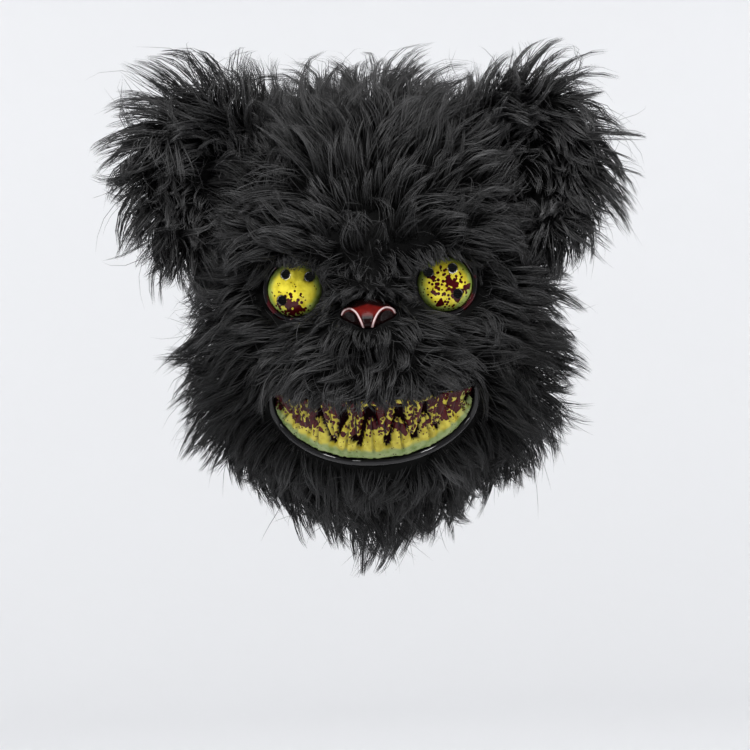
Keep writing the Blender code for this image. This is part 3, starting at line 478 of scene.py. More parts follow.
def on_face(side, height, offset=0.0):
    """Points on the shell's outer surface, moved outward by offset, in the frame."""
    points = np.stack([side, surface_y(side, height), height], axis=-1)
    away = surface_normal(side, height) * np.asarray(offset)[..., None]
    return points + away + FACE_ORIGIN


def place_of(points):
    """The side and height of points in the frame."""
    return points[:, 0] - FACE_ORIGIN[0], points[:, 2] - FACE_ORIGIN[2]


def face_grid(columns, rings, offset):
    """Points of the face surface moved outward by offset: its middle, then ring by ring."""
    turn = np.linspace(0, math.pi / 2, 400)
    out, forward = np.sin(turn) ** (2 / WIDTH_POWER), np.cos(turn) ** (2 / DEPTH_POWER)
    radius = (HALF_WIDTH + (CROWN_HEIGHT + CHIN_DROP) / 2) / 2
    steps = np.hypot(np.diff(out) * radius, np.diff(forward) * DOME_DEPTH)
    along = np.concatenate([[0], np.cumsum(steps)])
    shares = np.interp(np.linspace(0, along[-1], rings + 1)[1:], along, out)
    middle = np.array([0.0, MIDDLE_HEIGHT])
    places = [middle + share * (outline(columns) - middle) for share in shares]
    side, height = np.concatenate([[middle], *places]).T
    points = on_face(side, height, np.full(len(side), offset))
    rim = slice(len(points) - columns, None)
    normal = surface_normal(side[rim], height[rim])
    points[rim] = np.stack([side[rim], np.zeros(columns), height[rim]], axis=1)
    points[rim] += normal * offset + FACE_ORIGIN
    return points


def grid_faces(columns, rings, start=0, outward=True):
    """Faces of one face_grid whose middle point has the index start."""
    faces = []
    for column in range(columns):
        after = (column + 1) % columns
        faces.append((start, start + 1 + after, start + 1 + column))
        for ring in range(rings - 1):
            inner, outer = start + 1 + ring * columns, start + 1 + (ring + 1) * columns
            faces.append((inner + column, inner + after, outer + after, outer + column))
    return faces if outward else [face[::-1] for face in faces]


# Meshes


def add_object(name, points, faces, material=None, closed=True):
    """A smooth-shaded mesh object. The faces of a closed one are turned outward."""
    mesh = bpy.data.meshes.new(name)
    mesh.from_pydata([tuple(point) for point in points], [], faces)
    if closed:
        shape = bmesh.new()
        shape.from_mesh(mesh)
        bmesh.ops.recalc_face_normals(shape, faces=shape.faces)
        shape.to_mesh(mesh)
        shape.free()
    made = bpy.data.objects.new(name, mesh)
    bpy.context.scene.collection.objects.link(made)
    if material:
        mesh.materials.append(material)
    mesh.shade_smooth()
    return made


def add_triangles(name, points, triangles, uv, material):
    """A mesh from arrays, with the place of each point in its material's map."""
    mesh = bpy.data.meshes.new(name)
    mesh.vertices.add(len(points))
    mesh.vertices.foreach_set("co", points.astype(np.float32).ravel())
    mesh.loops.add(triangles.size)
    mesh.loops.foreach_set("vertex_index", triangles.astype(np.int32).ravel())
    mesh.polygons.add(len(triangles))
    mesh.polygons.foreach_set("loop_start", np.arange(0, triangles.size, 3, dtype=np.int32))
    mesh.update(calc_edges=True)
    mesh.uv_layers.new(name="OFBake")
    mesh.uv_layers[0].uv.foreach_set("vector", uv[triangles.ravel()].astype(np.float32).ravel())
    mesh.materials.append(material)
    mesh.shade_smooth()
    made = bpy.data.objects.new(name, mesh)
    bpy.context.scene.collection.objects.link(made)
    return made


def tube_faces(rows, count, closed):
    """Faces of a tube with rows of count points each. Unless it closes, it has flat ends."""
    last = (rows - 1) * count
    faces = [] if closed else [tuple(range(count)), tuple(range(last + count - 1, last - 1, -1))]
    for row in range(rows if closed else rows - 1):
        first, second = row * count, (row + 1) % rows * count
        for k in range(count):
            after = (k + 1) % count
            faces.append((first + k, first + after, second + after, second + k))
    return faces


def turned(name, profile, count, material=None, closed=False):
    """A solid turned about +Y from (radius, depth): a ring, or open with flat ends."""
    angles = circle(count)
    points = [(r * math.sin(a), y, r * math.cos(a)) for r, y in profile for a in angles]
    return add_object(name, points, tube_faces(len(profile), count, closed), material)


def prism(loop):
    """A block to cut with, straight through the face, with the (side, height) outline of loop."""
    count = len(loop)
    depths = (-2 * DOME_DEPTH, 0.0)
    points = [FACE_ORIGIN + (side, y, height) for y in depths for side, height in loop]
    sides = [(k, (k + 1) % count, count + (k + 1) % count, count + k) for k in range(count)]
    ends = [tuple(range(count)), tuple(range(2 * count - 1, count - 1, -1))]
    return add_object("prism", points, sides + ends)


def apply_modifier(obj, kind, **values):
    """Adds a modifier with these values and keeps its result as the object's mesh."""
    modifier = obj.modifiers.new(kind.lower(), kind)
    for key, value in values.items():
        setattr(modifier, key, value)
    bpy.context.view_layer.update()
    graph = bpy.context.evaluated_depsgraph_get()
    result = bpy.data.meshes.new_from_object(obj.evaluated_get(graph))
    obj.modifiers.clear()
    obj.data = result


def cut(obj, tools):
    for tool in tools:
        apply_modifier(obj, "BOOLEAN", operation="DIFFERENCE", solver="EXACT", object=tool)
        bpy.data.objects.remove(tool)


def set_attribute(obj, name, values):
    """Keeps one number for each point of a mesh, which its material reads."""
    layer = obj.data.attributes.new(name, "FLOAT", "POINT")
    layer.data.foreach_set("value", np.asarray(values, np.float32))


def points_of(obj):
    points = np.zeros(len(obj.data.vertices) * 3, np.float32)
    obj.data.vertices.foreach_get("co", points)
    return points.reshape(-1, 3).astype(float)


def dress(obj, solid=None):
    """Ties a piece to the mask's one body and in the place of a solid."""
    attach(obj, "root")
    if solid:
        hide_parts(solid)


# Materials


class Nodes:
    """A new material and short ways to add its nodes."""

    def __init__(self, name, **values):
        self.material = bpy.data.materials.new(name)
        self.material.use_nodes = True
        self.tree = self.material.node_tree
        self.shader = self.tree.nodes["Principled BSDF"]
        for key, value in values.items():
            self.shader.inputs[key.replace("_", " ")].default_value = value

    def add(self, kind, inputs=(), **values):
        node = self.tree.nodes.new("ShaderNode" + kind)
        for key, value in values.items():
            setattr(node, key, value)
        for key, value in dict(inputs).items():
            if isinstance(value, bpy.types.NodeSocket):
                self.tree.links.new(value, node.inputs[key])
            else:
                node.inputs[key].default_value = value
        return node

    def mix(self, share, *ends):
        """A colour between two colours or sockets, by share."""
        low, high = (end if isinstance(end, bpy.types.NodeSocket) else (*end, 1.0) for end in ends)
        return self.add("Mix", {0: share, 6: low, 7: high}, data_type="RGBA").outputs[2]

    def math(self, operation, *values):
        return self.add("Math", enumerate(values), operation=operation).outputs[0]

    def step(self, value, low, high):
        """0 below low and 1 above high, with a smooth change between."""
        kinds = {"Value": value, "From Min": low, "From Max": high}
        return self.add("MapRange", kinds, interpolation_type="SMOOTHSTEP").outputs[0]

    def attribute(self, name):
        return self.add("Attribute", attribute_name=name).outputs["Fac"]

    def place(self, offset=(0.0, 0.0, 0.0)):
        """The object's own coordinates, in metres."""
        here = self.add("TexCoord").outputs["Object"]
        return self.add("Mapping", {"Vector": here, "Location": offset}).outputs[0]

    def noise(self, place, scale, detail=2.0):
        kinds = {"Vector": place, "Scale": scale, "Detail": detail}
        return self.add("TexNoise", kinds).outputs[0]

    def cells(self, place, scale):
        kinds = {"Vector": place, "Scale": scale}
        return self.add("TexVoronoi", kinds).outputs["Distance"]

    def drive(self, socket, value):
        self.tree.links.new(value, self.shader.inputs[socket])

    def colour(self, share, low, high):
        self.drive("Base Color", self.mix(share, low, high))

    def rough(self, value, low, high):
        """Roughness between two values, by a third that runs from 0 to 1."""
        kinds = {"Value": value, "To Min": low, "To Max": high}
        self.drive("Roughness", self.add("MapRange", kinds).outputs[0])

    def bump(self, height, depth):
        """Roughens the surface by height, which is depth metres tall at 1."""
        node = self.add("Bump", {"Height": height, "Distance": depth, "Strength": 1.0})
        self.drive("Normal", node.outputs[0])


def lacquered(name, coat, mirror, **values):
    """A material under clear gloss, with how strongly the gloss and what is under it mirror."""
    return Nodes(name, Coat_Weight=coat, Coat_Roughness=0.03, Specular_IOR_Level=mirror, **values)


def pile_material():
    """Black pile of random shades, the palest partly painted highlight; roots get painted shade."""
    nodes = Nodes("black_pile", Specular_IOR_Level=0.25)
    uv = nodes.add("UVMap", uv_map="OFBake").outputs[0]
    shade, along = nodes.add("SeparateXYZ", {0: uv}).outputs[:2]
    # Toward the root the strand is darker, as painted shade.
    shaded = nodes.mix(shade, (0.0015, 0.0015, 0.0016), (0.0040, 0.0040, 0.0043))
    # Its pale end stands in for lit wisps, as painted highlight.
    light = nodes.mix(shade, (0.0045, 0.0045, 0.0048), (0.110, 0.109, 0.111))
    nodes.colour(nodes.step(along, 0.1, 0.9), shaded, light)
    nodes.rough(shade, 0.42, 0.30)
    return nodes.material


def backing_material():
    """The knitted ground of the fur fabric, a fine black mesh."""
    nodes = Nodes("fur_ground", Roughness=0.95, Specular_IOR_Level=0.05)
    grain = nodes.noise(nodes.place(), 900.0)
    nodes.colour(grain, (0.0015, 0.0015, 0.0015), (0.0045, 0.0045, 0.0045))
    nodes.bump(grain, 0.0003)
    return nodes.material


def gloss_black_material():
    """Moulded black plastic with a little orange peel and fine dust in its gloss."""
    nodes = lacquered("gloss_black", 0.40, 0.05)
    place = nodes.place()
    cloud = nodes.noise(place, 60.0, 4.0)
    nodes.colour(cloud, (0.006, 0.006, 0.007), (0.016, 0.015, 0.016))
    nodes.rough(cloud, 0.06, 0.22)
    nodes.bump(nodes.noise(place, 260.0), 0.00008)
    return nodes.material


def painted_material(name, offset, blot_scale, glow, coat, mirror):
    """Glossy yellow paint that fades to green, blotted and spotted with dark red.

    The mesh gives the paint's fade (tint), how thickly it is spattered (splash) and its deep
    places (deep), from 0 to 1. Deep places are painted near black: painted shade in recesses and
    holes, and bare black plastic on a back. The paint is as light as glow, 1 for the lightest.
    """
    nodes = lacquered(name, coat, mirror)
    place = nodes.place(offset)
    tint, splash, deep = (nodes.attribute(key) for key in ("tint", "splash", "deep"))
    cloud = nodes.step(nodes.noise(place, 190.0, 5.0), 0.30, 0.66)
    yellow = nodes.mix(cloud, (0.52 * glow, 0.42 * glow, 0.020), (0.84 * glow, 0.72 * glow, 0.060))
    green = nodes.mix(cloud, (0.17 * glow, 0.26 * glow, 0.040), (0.36 * glow, 0.44 * glow, 0.110))
    fade = nodes.math("ADD", tint, nodes.math("MULTIPLY", cloud, 0.3))
    paint = nodes.mix(nodes.step(fade, 0.3, 1.1), yellow, green)
    thick = nodes.math("MULTIPLY", splash, 0.25)
    blot = nodes.step(nodes.math("ADD", nodes.noise(place, blot_scale, 1.5), thick), 0.76, 0.775)
    strewn = nodes.math("MULTIPLY", nodes.math("ADD", splash, nodes.noise(place, 90.0)), 0.34)
    spot = nodes.step(nodes.math("SUBTRACT", strewn, nodes.cells(place, 430.0)), 0.0, 0.03)
    red = nodes.mix(nodes.noise(place, 220.0), (0.008, 0.0005, 0.0012), (0.085, 0.003, 0.006))
    spatter = nodes.math("MAXIMUM", blot, spot)
    # Deep places are painted near black: painted shade in recesses and holes, bare plastic behind.
    nodes.colour(deep, nodes.mix(spatter, paint, red), (0.005, 0.001, 0.0015))
    nodes.rough(cloud, 0.12, 0.24)
    nodes.bump(spatter, 0.00015)
    return nodes.material


def gap_shade_material():
    """Painted shade between the teeth: near black for the plate's deepest faces."""
    nodes = Nodes("tooth_gap_shade", Roughness=0.8, Specular_IOR_Level=0.0)
    grain = nodes.noise(nodes.place(), 500.0)
    nodes.colour(grain, (0.001, 0.0005, 0.0005), (0.010, 0.003, 0.004))
    return nodes.material


def nose_material():
    """Dark red gloss on top that runs to black over the nostrils, under painted-highlight wings."""
    nodes = lacquered("nose_gloss", 0.04, 0.08)
    deep, cloud = nodes.attribute("deep"), nodes.noise(nodes.place(), 240.0, 3.0)
    red = nodes.mix(cloud, (0.035, 0.002, 0.002), (0.115, 0.007, 0.005))
    fade = nodes.step(nodes.math("ADD", deep, nodes.math("MULTIPLY", cloud, 0.15)), 0.25, 0.85)
    base = nodes.mix(fade, red, (0.006, 0.002, 0.002))
    # The wings' pale pinkish white is a painted highlight.
    nodes.colour(nodes.step(nodes.attribute("painted_edge_light_and_shade"), 0.55, 0.95), base, (0.52, 0.40, 0.40))
    nodes.rough(cloud, 0.10, 0.22)
    return nodes.material


def elastic_material():
    """Woven black elastic: fine ribs along the band, crossed by its weft."""
    nodes = Nodes("woven_elastic", Roughness=0.90, Specular_IOR_Level=0.10)
    rib, weft = 0.0014, 0.0011
    upward = nodes.add("SeparateXYZ", {0: nodes.place()}).outputs[2]
    across = nodes.math("SINE", nodes.math("MULTIPLY", upward, 2 * math.pi / rib))
    along = nodes.math("SINE", nodes.math("MULTIPLY", nodes.attribute("along"), 2 * math.pi / weft))
    weave = nodes.math("MULTIPLY", nodes.math("ADD", along, nodes.math("MULTIPLY", across, 1.6)), 0.19)
    height = nodes.math("ADD", weave, 0.5)
    nodes.colour(height, (0.003, 0.003, 0.003), (0.013, 0.013, 0.014))
    nodes.bump(height, 0.00025)
    return nodes.material


def socket_material():
    """Gloss black moulding with dark red paint that ran over its edge."""
    nodes = lacquered("socket_gloss", 0.8, 0.1, Roughness=0.12)
    place = nodes.place((0.4, 0.0, 0.1))
    run = nodes.step(nodes.noise(place, 90.0, 1.5), 0.54, 0.60)
    red = nodes.mix(nodes.noise(place, 300.0), (0.020, 0.001, 0.002), (0.080, 0.004, 0.008))
    nodes.colour(run, (0.006, 0.005, 0.006), red)
    nodes.bump(run, 0.0001)
    return nodes.material


def steel_material():
    nodes = Nodes("satin_steel", Metallic=1.0)
    grain = nodes.noise(nodes.place(), 1500.0, 3.0)
    nodes.colour(grain, (0.38, 0.38, 0.39), (0.62, 0.62, 0.63))
    nodes.rough(grain, 0.25, 0.45)
    return nodes.material


# Pile


def facing_of(points, triangles):
    """The normal of each triangle, as long as twice its area."""
    corners = points[triangles]
    return np.cross(corners[:, 1] - corners[:, 0], corners[:, 2] - corners[:, 0])


def scatter(points, triangles, normals, count, draw, closeness):
    """count places spread over a surface by closeness, with the surface's normal at each."""
    area = np.linalg.norm(facing_of(points, triangles), axis=1)
    area = area * closeness[triangles].mean(axis=1)
    picked = draw.choice(len(triangles), count, p=area / area.sum())
    a, b = draw.random((2, count, 1))
    over = a + b > 1
    a, b = np.where(over, 1 - a, a), np.where(over, 1 - b, b)
    share = np.stack([1 - a - b, a, b], axis=1)
    spots = (points[triangles][picked] * share).sum(axis=1)
    return spots, unit((normals[triangles[picked]] * share).sum(axis=1))


def split_faces(faces):
    """Three-sided faces from three- and four-sided ones."""
    triangles = []
    for face in faces:
        triangles.append(face[:3])
        if len(face) == 4:
            triangles.append((face[0], face[2], face[3]))
    return np.array(triangles)


def normals_of(points, triangles):
    """The surface's normal at each point."""
    facing = facing_of(points, triangles)
    total = np.zeros_like(points)
    for k in range(3):
        np.add.at(total, triangles[:, k], facing)
    return unit(total)


def lie_of_pile(side, height):
    """How the pile lies at places of the face, blended from the rows of PILE_ROWS near them."""
    rows = np.array(PILE_ROWS, float)
    places = np.stack([np.abs(side), height], axis=1)
    apart = np.linalg.norm(places[:, None] - (rows[:, :2] / 1000)[None], axis=2)
    weight = 1 / (apart + COMB_BLEND) ** 3
    return ((weight / weight.sum(axis=1, keepdims=True)) @ rows[:, 2:]).T


def nearest(places, found):
    """For each place, which of the found places lies nearest to it."""
    tree = kdtree.KDTree(len(found))
    for k, place in enumerate(found):
        tree.insert(place, k)
    tree.balance()
    return np.array([tree.find(place)[1] for place in places])


def strand_paths(roots, normals, combs, leans, lengths, turns):
    """Each strand's path from its root, which bends from its first lean to its last."""
    t = (np.arange(STRAND_STEPS) + 0.5) / STRAND_STEPS
    combs = unit(combs - normals * (combs * normals).sum(axis=1, keepdims=True))
    side = np.cross(normals, combs)
    turn = turns[:, :1] + turns[:, 1:] * (t - 0.25)
    heading = np.cos(turn)[..., None] * combs[:, None] + np.sin(turn)[..., None] * side[:, None]
    lean = leans[:, :1] + (leans[:, 1:] - leans[:, :1]) * t**0.8
    way = np.cos(lean)[..., None] * normals[:, None] + np.sin(lean)[..., None] * heading
    way[..., 2] -= DROOP * t**2
    path = np.cumsum(unit(way) * (lengths[:, None] / STRAND_STEPS)[..., None], axis=1)
    return roots[:, None] + np.concatenate([np.zeros((len(path), 1, 3)), path], axis=1)


def hold_in(paths):
    """Paths drawn in smoothly where they near the limits of the room round the part."""
    middle, half = (ROOM_LOW + ROOM_HIGH) / 2, (ROOM_HIGH - ROOM_LOW) / 2
    away = paths - middle
    beyond = np.maximum(np.abs(away) - half + ROOM_EDGE, 0.0)
    return paths - np.sign(away) * (beyond - ROOM_EDGE * np.tanh(beyond / ROOM_EDGE))


def grow(roots, normals, combs, leans, lengths, draw):
    """Strands that gather into wisps and locks: paths, shades from 0 to 1 and half widths."""
    count = len(roots)
    leans = leans + np.radians(draw.normal(0, LEAN_WANDER, (count, 2)))
    lengths = lengths * draw.uniform(*LENGTH_SPREAD, count)
    turns = draw.normal(0, 1, (count, 2)) * TURN_WANDER
    shade = OWN_SHADE * draw.random(count)
    gathered = []
    for leaders, heading, curl, lean, length, meet, late in GATHER_ROWS:
        leading = draw.choice(count, max(1, round(count * leaders)), replace=False)
        leader = leading[nearest(roots, roots[leading])]
        turns = turns + (draw.normal(0, 1, (count, 2)) * (heading, curl))[leader]
        leans = leans + np.radians(draw.normal(0, lean, count))[leader][:, None]
        lengths = lengths * (1 + draw.normal(0, length, count).clip(-0.3, 0.3))[leader]
        # Each wisp and lock shares a shade, which the pile's material partly paints as highlight.
        shade += (1 - OWN_SHADE) / len(GATHER_ROWS) * draw.random(count)[leader]
        gathered.append((leader, meet, late))
    loose = draw.random(count) < LOOSE_SHARE
    turns[loose] += draw.normal(0, LOOSE_CURL, (loose.sum(), 2))
    lengths = np.where(loose, LOOSE_LENGTH, 1.0) * lengths
    paths = strand_paths(roots, normals, combs, np.clip(leans, *LEAN_LIMITS), lengths, turns)
    t = np.linspace(0, 1, STRAND_STEPS + 1)[None, :, None]
    for leader, meet, late in gathered:
        follow = np.where(loose, LOOSE_FOLLOW, draw.uniform(*FOLLOW_SPREAD, count))[:, None, None]
        pull = np.clip(follow * meet * t**late, 0, 0.97)
        paths = paths * (1 - pull) + paths[leader] * pull
    wander = np.cumsum(draw.normal(0, 1, (count, STRAND_STEPS + 1, 3)), axis=1)
    paths += (wander - wander[:, :1]) * FRIZZ * t / math.sqrt(STRAND_STEPS)
    width = STRAND_HALF_WIDTH * draw.uniform(*WIDTH_SPREAD, count) * np.where(loose, LOOSE_WIDTH, 1.0)
    return hold_in(paths), np.clip(shade, 0, 1) ** SHADE_POWER, width


def strand_mesh(name, paths, shade, half_width, material, draw):
    """Strands as closed three-sided spikes along their paths."""
    count, per, _ = paths.shape
    along = unit(np.gradient(paths, axis=1))
    side = unit(np.cross(along, unit(draw.normal(0, 1, (count, 1, 3)))))
    over = np.cross(side, along)
    t = np.linspace(0, 1, per)
    taper = (1 - t[:-1]) ** 0.55 * (0.8 + 0.35 * np.sin(math.pi * t[:-1]))
    width = half_width[:, None] * taper
    rings = []
    for angle in (0, 2 * math.pi / 3, 4 * math.pi / 3):
        away = math.cos(angle) * side[:, :-1] + 0.7 * math.sin(angle) * over[:, :-1]
        rings.append(paths[:, :-1] + away * width[..., None])
    rings = np.stack(rings, axis=2).reshape(count, -1, 3)
    points = np.concatenate([rings, paths[:, -1:]], axis=1)
    one = [(0, 1, 2)]
    for row in range(per - 2):
        for k in range(3):
            a, b = 3 * row + k, 3 * row + (k + 1) % 3
            one += [(a, b + 3, b), (a, a + 3, b + 3)]
    last, tip = 3 * (per - 2), 3 * (per - 1)
    one += [(last + (k + 1) % 3, last + k, tip) for k in range(3)]
    size = points.shape[1]
    triangles = (np.array(one)[None] + (np.arange(count) * size)[:, None, None]).reshape(-1, 3)
    place = np.concatenate([np.repeat(t[:-1], 3), [1.0]])
    uv = np.stack([np.repeat(shade, size), np.tile(place, count)], axis=1)
    uv = MAP_EDGE + (1 - 2 * MAP_EDGE) * uv
    return add_triangles(name, points.reshape(-1, 3), triangles, uv, material)


# Openings in the pile


def brow_line(side):
    """The height, over an eye, down to which the brow's pile hangs: lower toward the nose."""
    return 0.0070 + 0.26 * (np.abs(side) - 0.028)


def fringe_line(side):
    """The height down to which the upper lip's pile hangs over the teeth."""
    waves = 0.0014 * np.sin(side * 190) + 0.0010 * np.sin(side * 430 + 1)
    return -0.0735 - 0.05 * (0.012 - side) + 0.0135 * (side / MOUTH_HALF_WIDTH) ** 2 + waves


def nose_line(side):
    """The height down to which the bridge's pile hangs over the nose."""
    return -NOSE_DROP + 0.62 * NOSE_HALF_HEIGHT - 8.0 * side**2


def mouth_edges(side, below=0.0, above=0.0):
    """Heights of the mouth opening's lower and upper edge, grown by these lengths."""
    inward = np.clip(1 - (side / (MOUTH_HALF_WIDTH + below)) ** 2, 0, 1)
    low = -MOUTH_DROP - (MOUTH_DEPTH + below) * np.sqrt(inward)
    return low, -MOUTH_DROP + MOUTH_CORNER + above - MOUTH_TOP_SAG * inward


def in_mouth(side, height, below, above):
    """Whether places lie in the mouth opening grown by these lengths."""
    low, top = mouth_edges(side, below, above)
    return (np.abs(side) < MOUTH_HALF_WIDTH + below) & (height > low) & (height < top)


def nose_narrow(up):
    """How wide the nose is, as a share, at heights on it from 1 at its top to -1 at its foot."""
    return 1 - NOSE_TAPER * smooth_step(-0.1, -1.0, up)


def round_nose(turn, away):
    """Side and height at angles round the nose from its top, a length out from its outline."""
    side = (NOSE_HALF_WIDTH + away) * np.sin(turn) * nose_narrow(np.cos(turn))
    return side, -NOSE_DROP + (NOSE_HALF_HEIGHT + away) * np.cos(turn)


def in_nose(side, height, grow_by):
    """Whether places lie on the nose grown by a length."""
    up = (height + NOSE_DROP) / (NOSE_HALF_HEIGHT + grow_by)
    return (side / ((NOSE_HALF_WIDTH + grow_by) * nose_narrow(up))) ** 2 + up**2 < 1


def bare_at_root(side, height):
    """Whether no strand roots at these places: the eyes' rings, the nose and the mouth."""
    ring = np.hypot(np.abs(side) - EYE_SIDE, height) < EYE_RADIUS + RING_WALL + 3 * GAP
    clear = LIP_FUR_CLEAR * LIP_RADIUS, LIP_FUR_CLEAR * UPPER_LIP_RADIUS
    return ring | in_mouth(side, height, *clear) | in_nose(side, height, 2 * GAP)


def bare_above(side, height, ragged):
    """Whether no strand passes over these places, but for a ragged edge."""
    eye = np.hypot(np.abs(side) - EYE_SIDE, height) < EYE_RADIUS + 0.0016 - ragged
    eye &= height < brow_line(side) - 0.6 * ragged
    mouth = in_mouth(side, height, LIP_FUR_CLEAR * LIP_RADIUS - ragged, 0.004)
    mouth &= height < fringe_line(side) - 1.3 * ragged
    nose = in_nose(side, height, 0.0010 - 0.4 * ragged)
    nose &= height < nose_line(side) - 0.8 * ragged
    return eye | mouth | nose


def along_paths(paths, shares):
    """Points of the paths at shares of their way, a row of shares for each path."""
    last = paths.shape[1] - 1
    places = np.clip(shares, 0, 1) * last
    first = np.minimum(places.astype(int), last - 1)
    part = (places - first)[..., None]
    rows = np.arange(len(paths))[:, None]
    return paths[rows, first] * (1 - part) + paths[rows, first + 1] * part


def keep_openings_clear(paths, draw):
    """Strands that would cross an opening, shortened to end before it. Returns which stay."""
    count, per, _ = paths.shape
    ragged = np.abs(draw.normal(0, RAGGED, (count, 1)))
    fine = np.linspace(0, 1, STEP_PARTS * per)
    points = along_paths(paths, np.tile(fine, (count, 1))) - FACE_ORIGIN
    crosses = bare_above(points[..., 0], points[..., 2], ragged)
    crosses[:, :ROOT_PARTS] = False
    first = np.where(crosses.any(axis=1), crosses.argmax(axis=1) - 1, len(fine) - 1)
    share = fine[first]
    paths[:] = along_paths(paths, share[:, None] * np.linspace(0, 1, per)[None])
    return share > SHORTEST


# Ears


def ear_axes(hand):
    """An ear's middle and its across, up and forward directions, in the frame."""
    turn, lean = hand * EAR_TURN, hand * EAR_LEAN
    forward = np.array([-math.sin(turn), -math.cos(turn), 0.0])
    up = np.array([math.sin(lean), 0.0, math.cos(lean)])
    across = unit(np.cross(forward, up))
    up = np.cross(across, forward)
    middle = np.array([hand * EAR_SIDE, -EAR_BACK, EAR_HEIGHT]) + FACE_ORIGIN
    return middle, across, up, forward


def inside_ear(points):
    """Whether points lie well inside an ear's body."""
    inside = np.zeros(len(points), bool)
    for hand in HANDS.values():
        middle, across, up, forward = ear_axes(hand)
        away = points - middle
        wide, high = away @ across / EAR_HALF_WIDTH, away @ up / EAR_HALF_HEIGHT
        deep = away @ forward / EAR_CUP
        inside |= (wide**2 + high**2 < 0.8) & (np.abs(deep) < 0.9)
    return inside


def behind_face(points, depth):
    """Whether points lie inside the head, at least depth under the shell's outer surface."""
    side, y, height = (points - FACE_ORIGIN).T
    return (rim_share(side, height) < 1) & (y > surface_y(side, height) + depth)


def ear_sheet(hand, columns, rings):
    """An ear's surface as points and faces, and how far along the profile each point lies."""
    middle, across, up, forward = ear_axes(hand)
    places = np.linspace(0, len(EAR_PROFILE) - 1, rings)
    out, rise = spline(EAR_PROFILE, places).T
    wide = EAR_HALF_WIDTH * np.outer(out, np.sin(circle(columns)))
    high = EAR_HALF_HEIGHT * np.outer(out, np.cos(circle(columns)))
    points = middle + wide[..., None] * across + high[..., None] * up
    points = (points + (EAR_CUP * rise)[:, None, None] * forward).reshape(-1, 3)
    faces = []
    for ring in range(rings - 1):
        for k in range(columns):
            after = (k + 1) % columns
            first, second = ring * columns, (ring + 1) * columns
            faces.append((first + k, second + k, second + after, first + after))
    share = np.repeat(places / (len(EAR_PROFILE) - 1), columns)
    return points, faces, share


def make_ear(name, hand, ground, pile):
    """A padded ear under its own pile."""
    points, faces, share = ear_sheet(hand, columns=64, rings=32)
    pad = add_object(name + "_pad", points, faces, ground)
    apply_modifier(pad, "WELD", merge_threshold=0.00001)
    dress(pad, name)

    draw = np.random.default_rng(EAR_SEEDS[name])
    triangles = split_faces(faces)
    normals = normals_of(points, triangles)
    middle, across, up, forward = ear_axes(hand)
    if ((points - middle) * normals).sum() < 0:
        normals = -normals
    rows = np.array(EAR_PILE_ROWS)
    closeness = np.interp(share, rows[:, 0], rows[:, 4])
    closeness = closeness * ~behind_face(points, -0.004)
    roots, facing = scatter(points, triangles, normals, EAR_STRANDS, draw, closeness)
    away = roots - middle
    radial = unit(away - np.outer(away @ forward, forward))
    along = share[nearest(roots, points)]
    start, end, length = (np.interp(along, rows[:, 0], rows[:, k]) for k in (1, 2, 3))
    growth = 1 + EAR_INNER_GROWTH * np.clip(-hand * radial[:, 0], 0, 1)
    growth += EAR_UPWARD_GROWTH * np.clip(radial[:, 2], 0, 1)
    length = EAR_GROWTH[name] * length * growth
    sweep = hand * np.stack([radial[:, 2], 0 * radial[:, 0], -radial[:, 0]], axis=1)
    sweep *= EAR_SWEEP * smooth_step(-0.5, 0.3, radial[:, 2])[:, None]
    combs = radial + sweep - EAR_COMB_BACK * forward - (0.0, 0.0, EAR_COMB_DOWN)
    leans = np.radians(np.stack([start, end], axis=1))
    roots = roots - facing * ROOT_SINK
    paths, shade, width = grow(roots, facing, combs, leans, length / 1000, draw)
    # Painted light: the pile on an ear's front is made paler.
    shade = np.minimum(shade + EAR_FRONT_PAINTED_LIGHT * smooth_step(0.5, 0.1, along), 1.0)
    dress(strand_mesh(name + "_pile", paths, shade, width, pile, draw))


# Face pile


def fringe(kind, side, height, sideways, draw, painted_shade_by=FRINGE_PAINTED_SHADE, width_by=FRINGE_WIDTH):
    """Strands that hang from places of the face, and gather apart from the rest of the pile."""
    _, leans, length = FRINGES[kind]
    count = len(side)
    combs = np.tile((0.0, *FRINGE_COMB), (count, 1))
    combs[:, 0] = sideways
    roots = on_face(side, height, np.full(count, GAP + FUR_BACKING - ROOT_SINK))
    leans = np.radians(np.tile(leans, (count, 1)))
    facing = surface_normal(side, height)
    paths, shade, width = grow(roots, facing, combs, leans, np.full(count, length), draw)
    # Unless told otherwise, a fringe is darkened with painted shade.
    return paths, painted_shade_by * shade, width_by * width


def brow_fringe(hand, draw):
    """Strands over the top of an eye's ring, which hang down over its dome."""
    count = FRINGES["brow"][0]
    turn = draw.uniform(-1.0, 1.15, count)
    away = EYE_RADIUS + RING_WALL + draw.uniform(0.0012, 0.0052, count)
    side, height = hand * (EYE_SIDE + away * np.sin(turn)), away * np.cos(turn)
    return fringe("brow", side, height, 0.35 * hand, draw, 1.0, 1.0)


def nose_fringe(draw):
    """Strands over the top of the nose, which rise before they bend down over it."""
    count = FRINGES["nose"][0]
    turn = draw.uniform(-1.1, 1.1, count)
    side, height = round_nose(turn, draw.uniform(0.0005, 0.0035, count))
    return fringe("nose", side, height, -0.3 * np.sin(turn), draw)


def under_nose(draw):
    """Short strands close under the nose."""
    count = FRINGES["under_nose"][0]
    turn = math.pi + draw.uniform(-1.25, 1.25, count)
    side, height = round_nose(turn, draw.uniform(0.0006, 0.0080, count))
    return fringe("under_nose", side, height, 0.5 * np.sin(turn), draw)


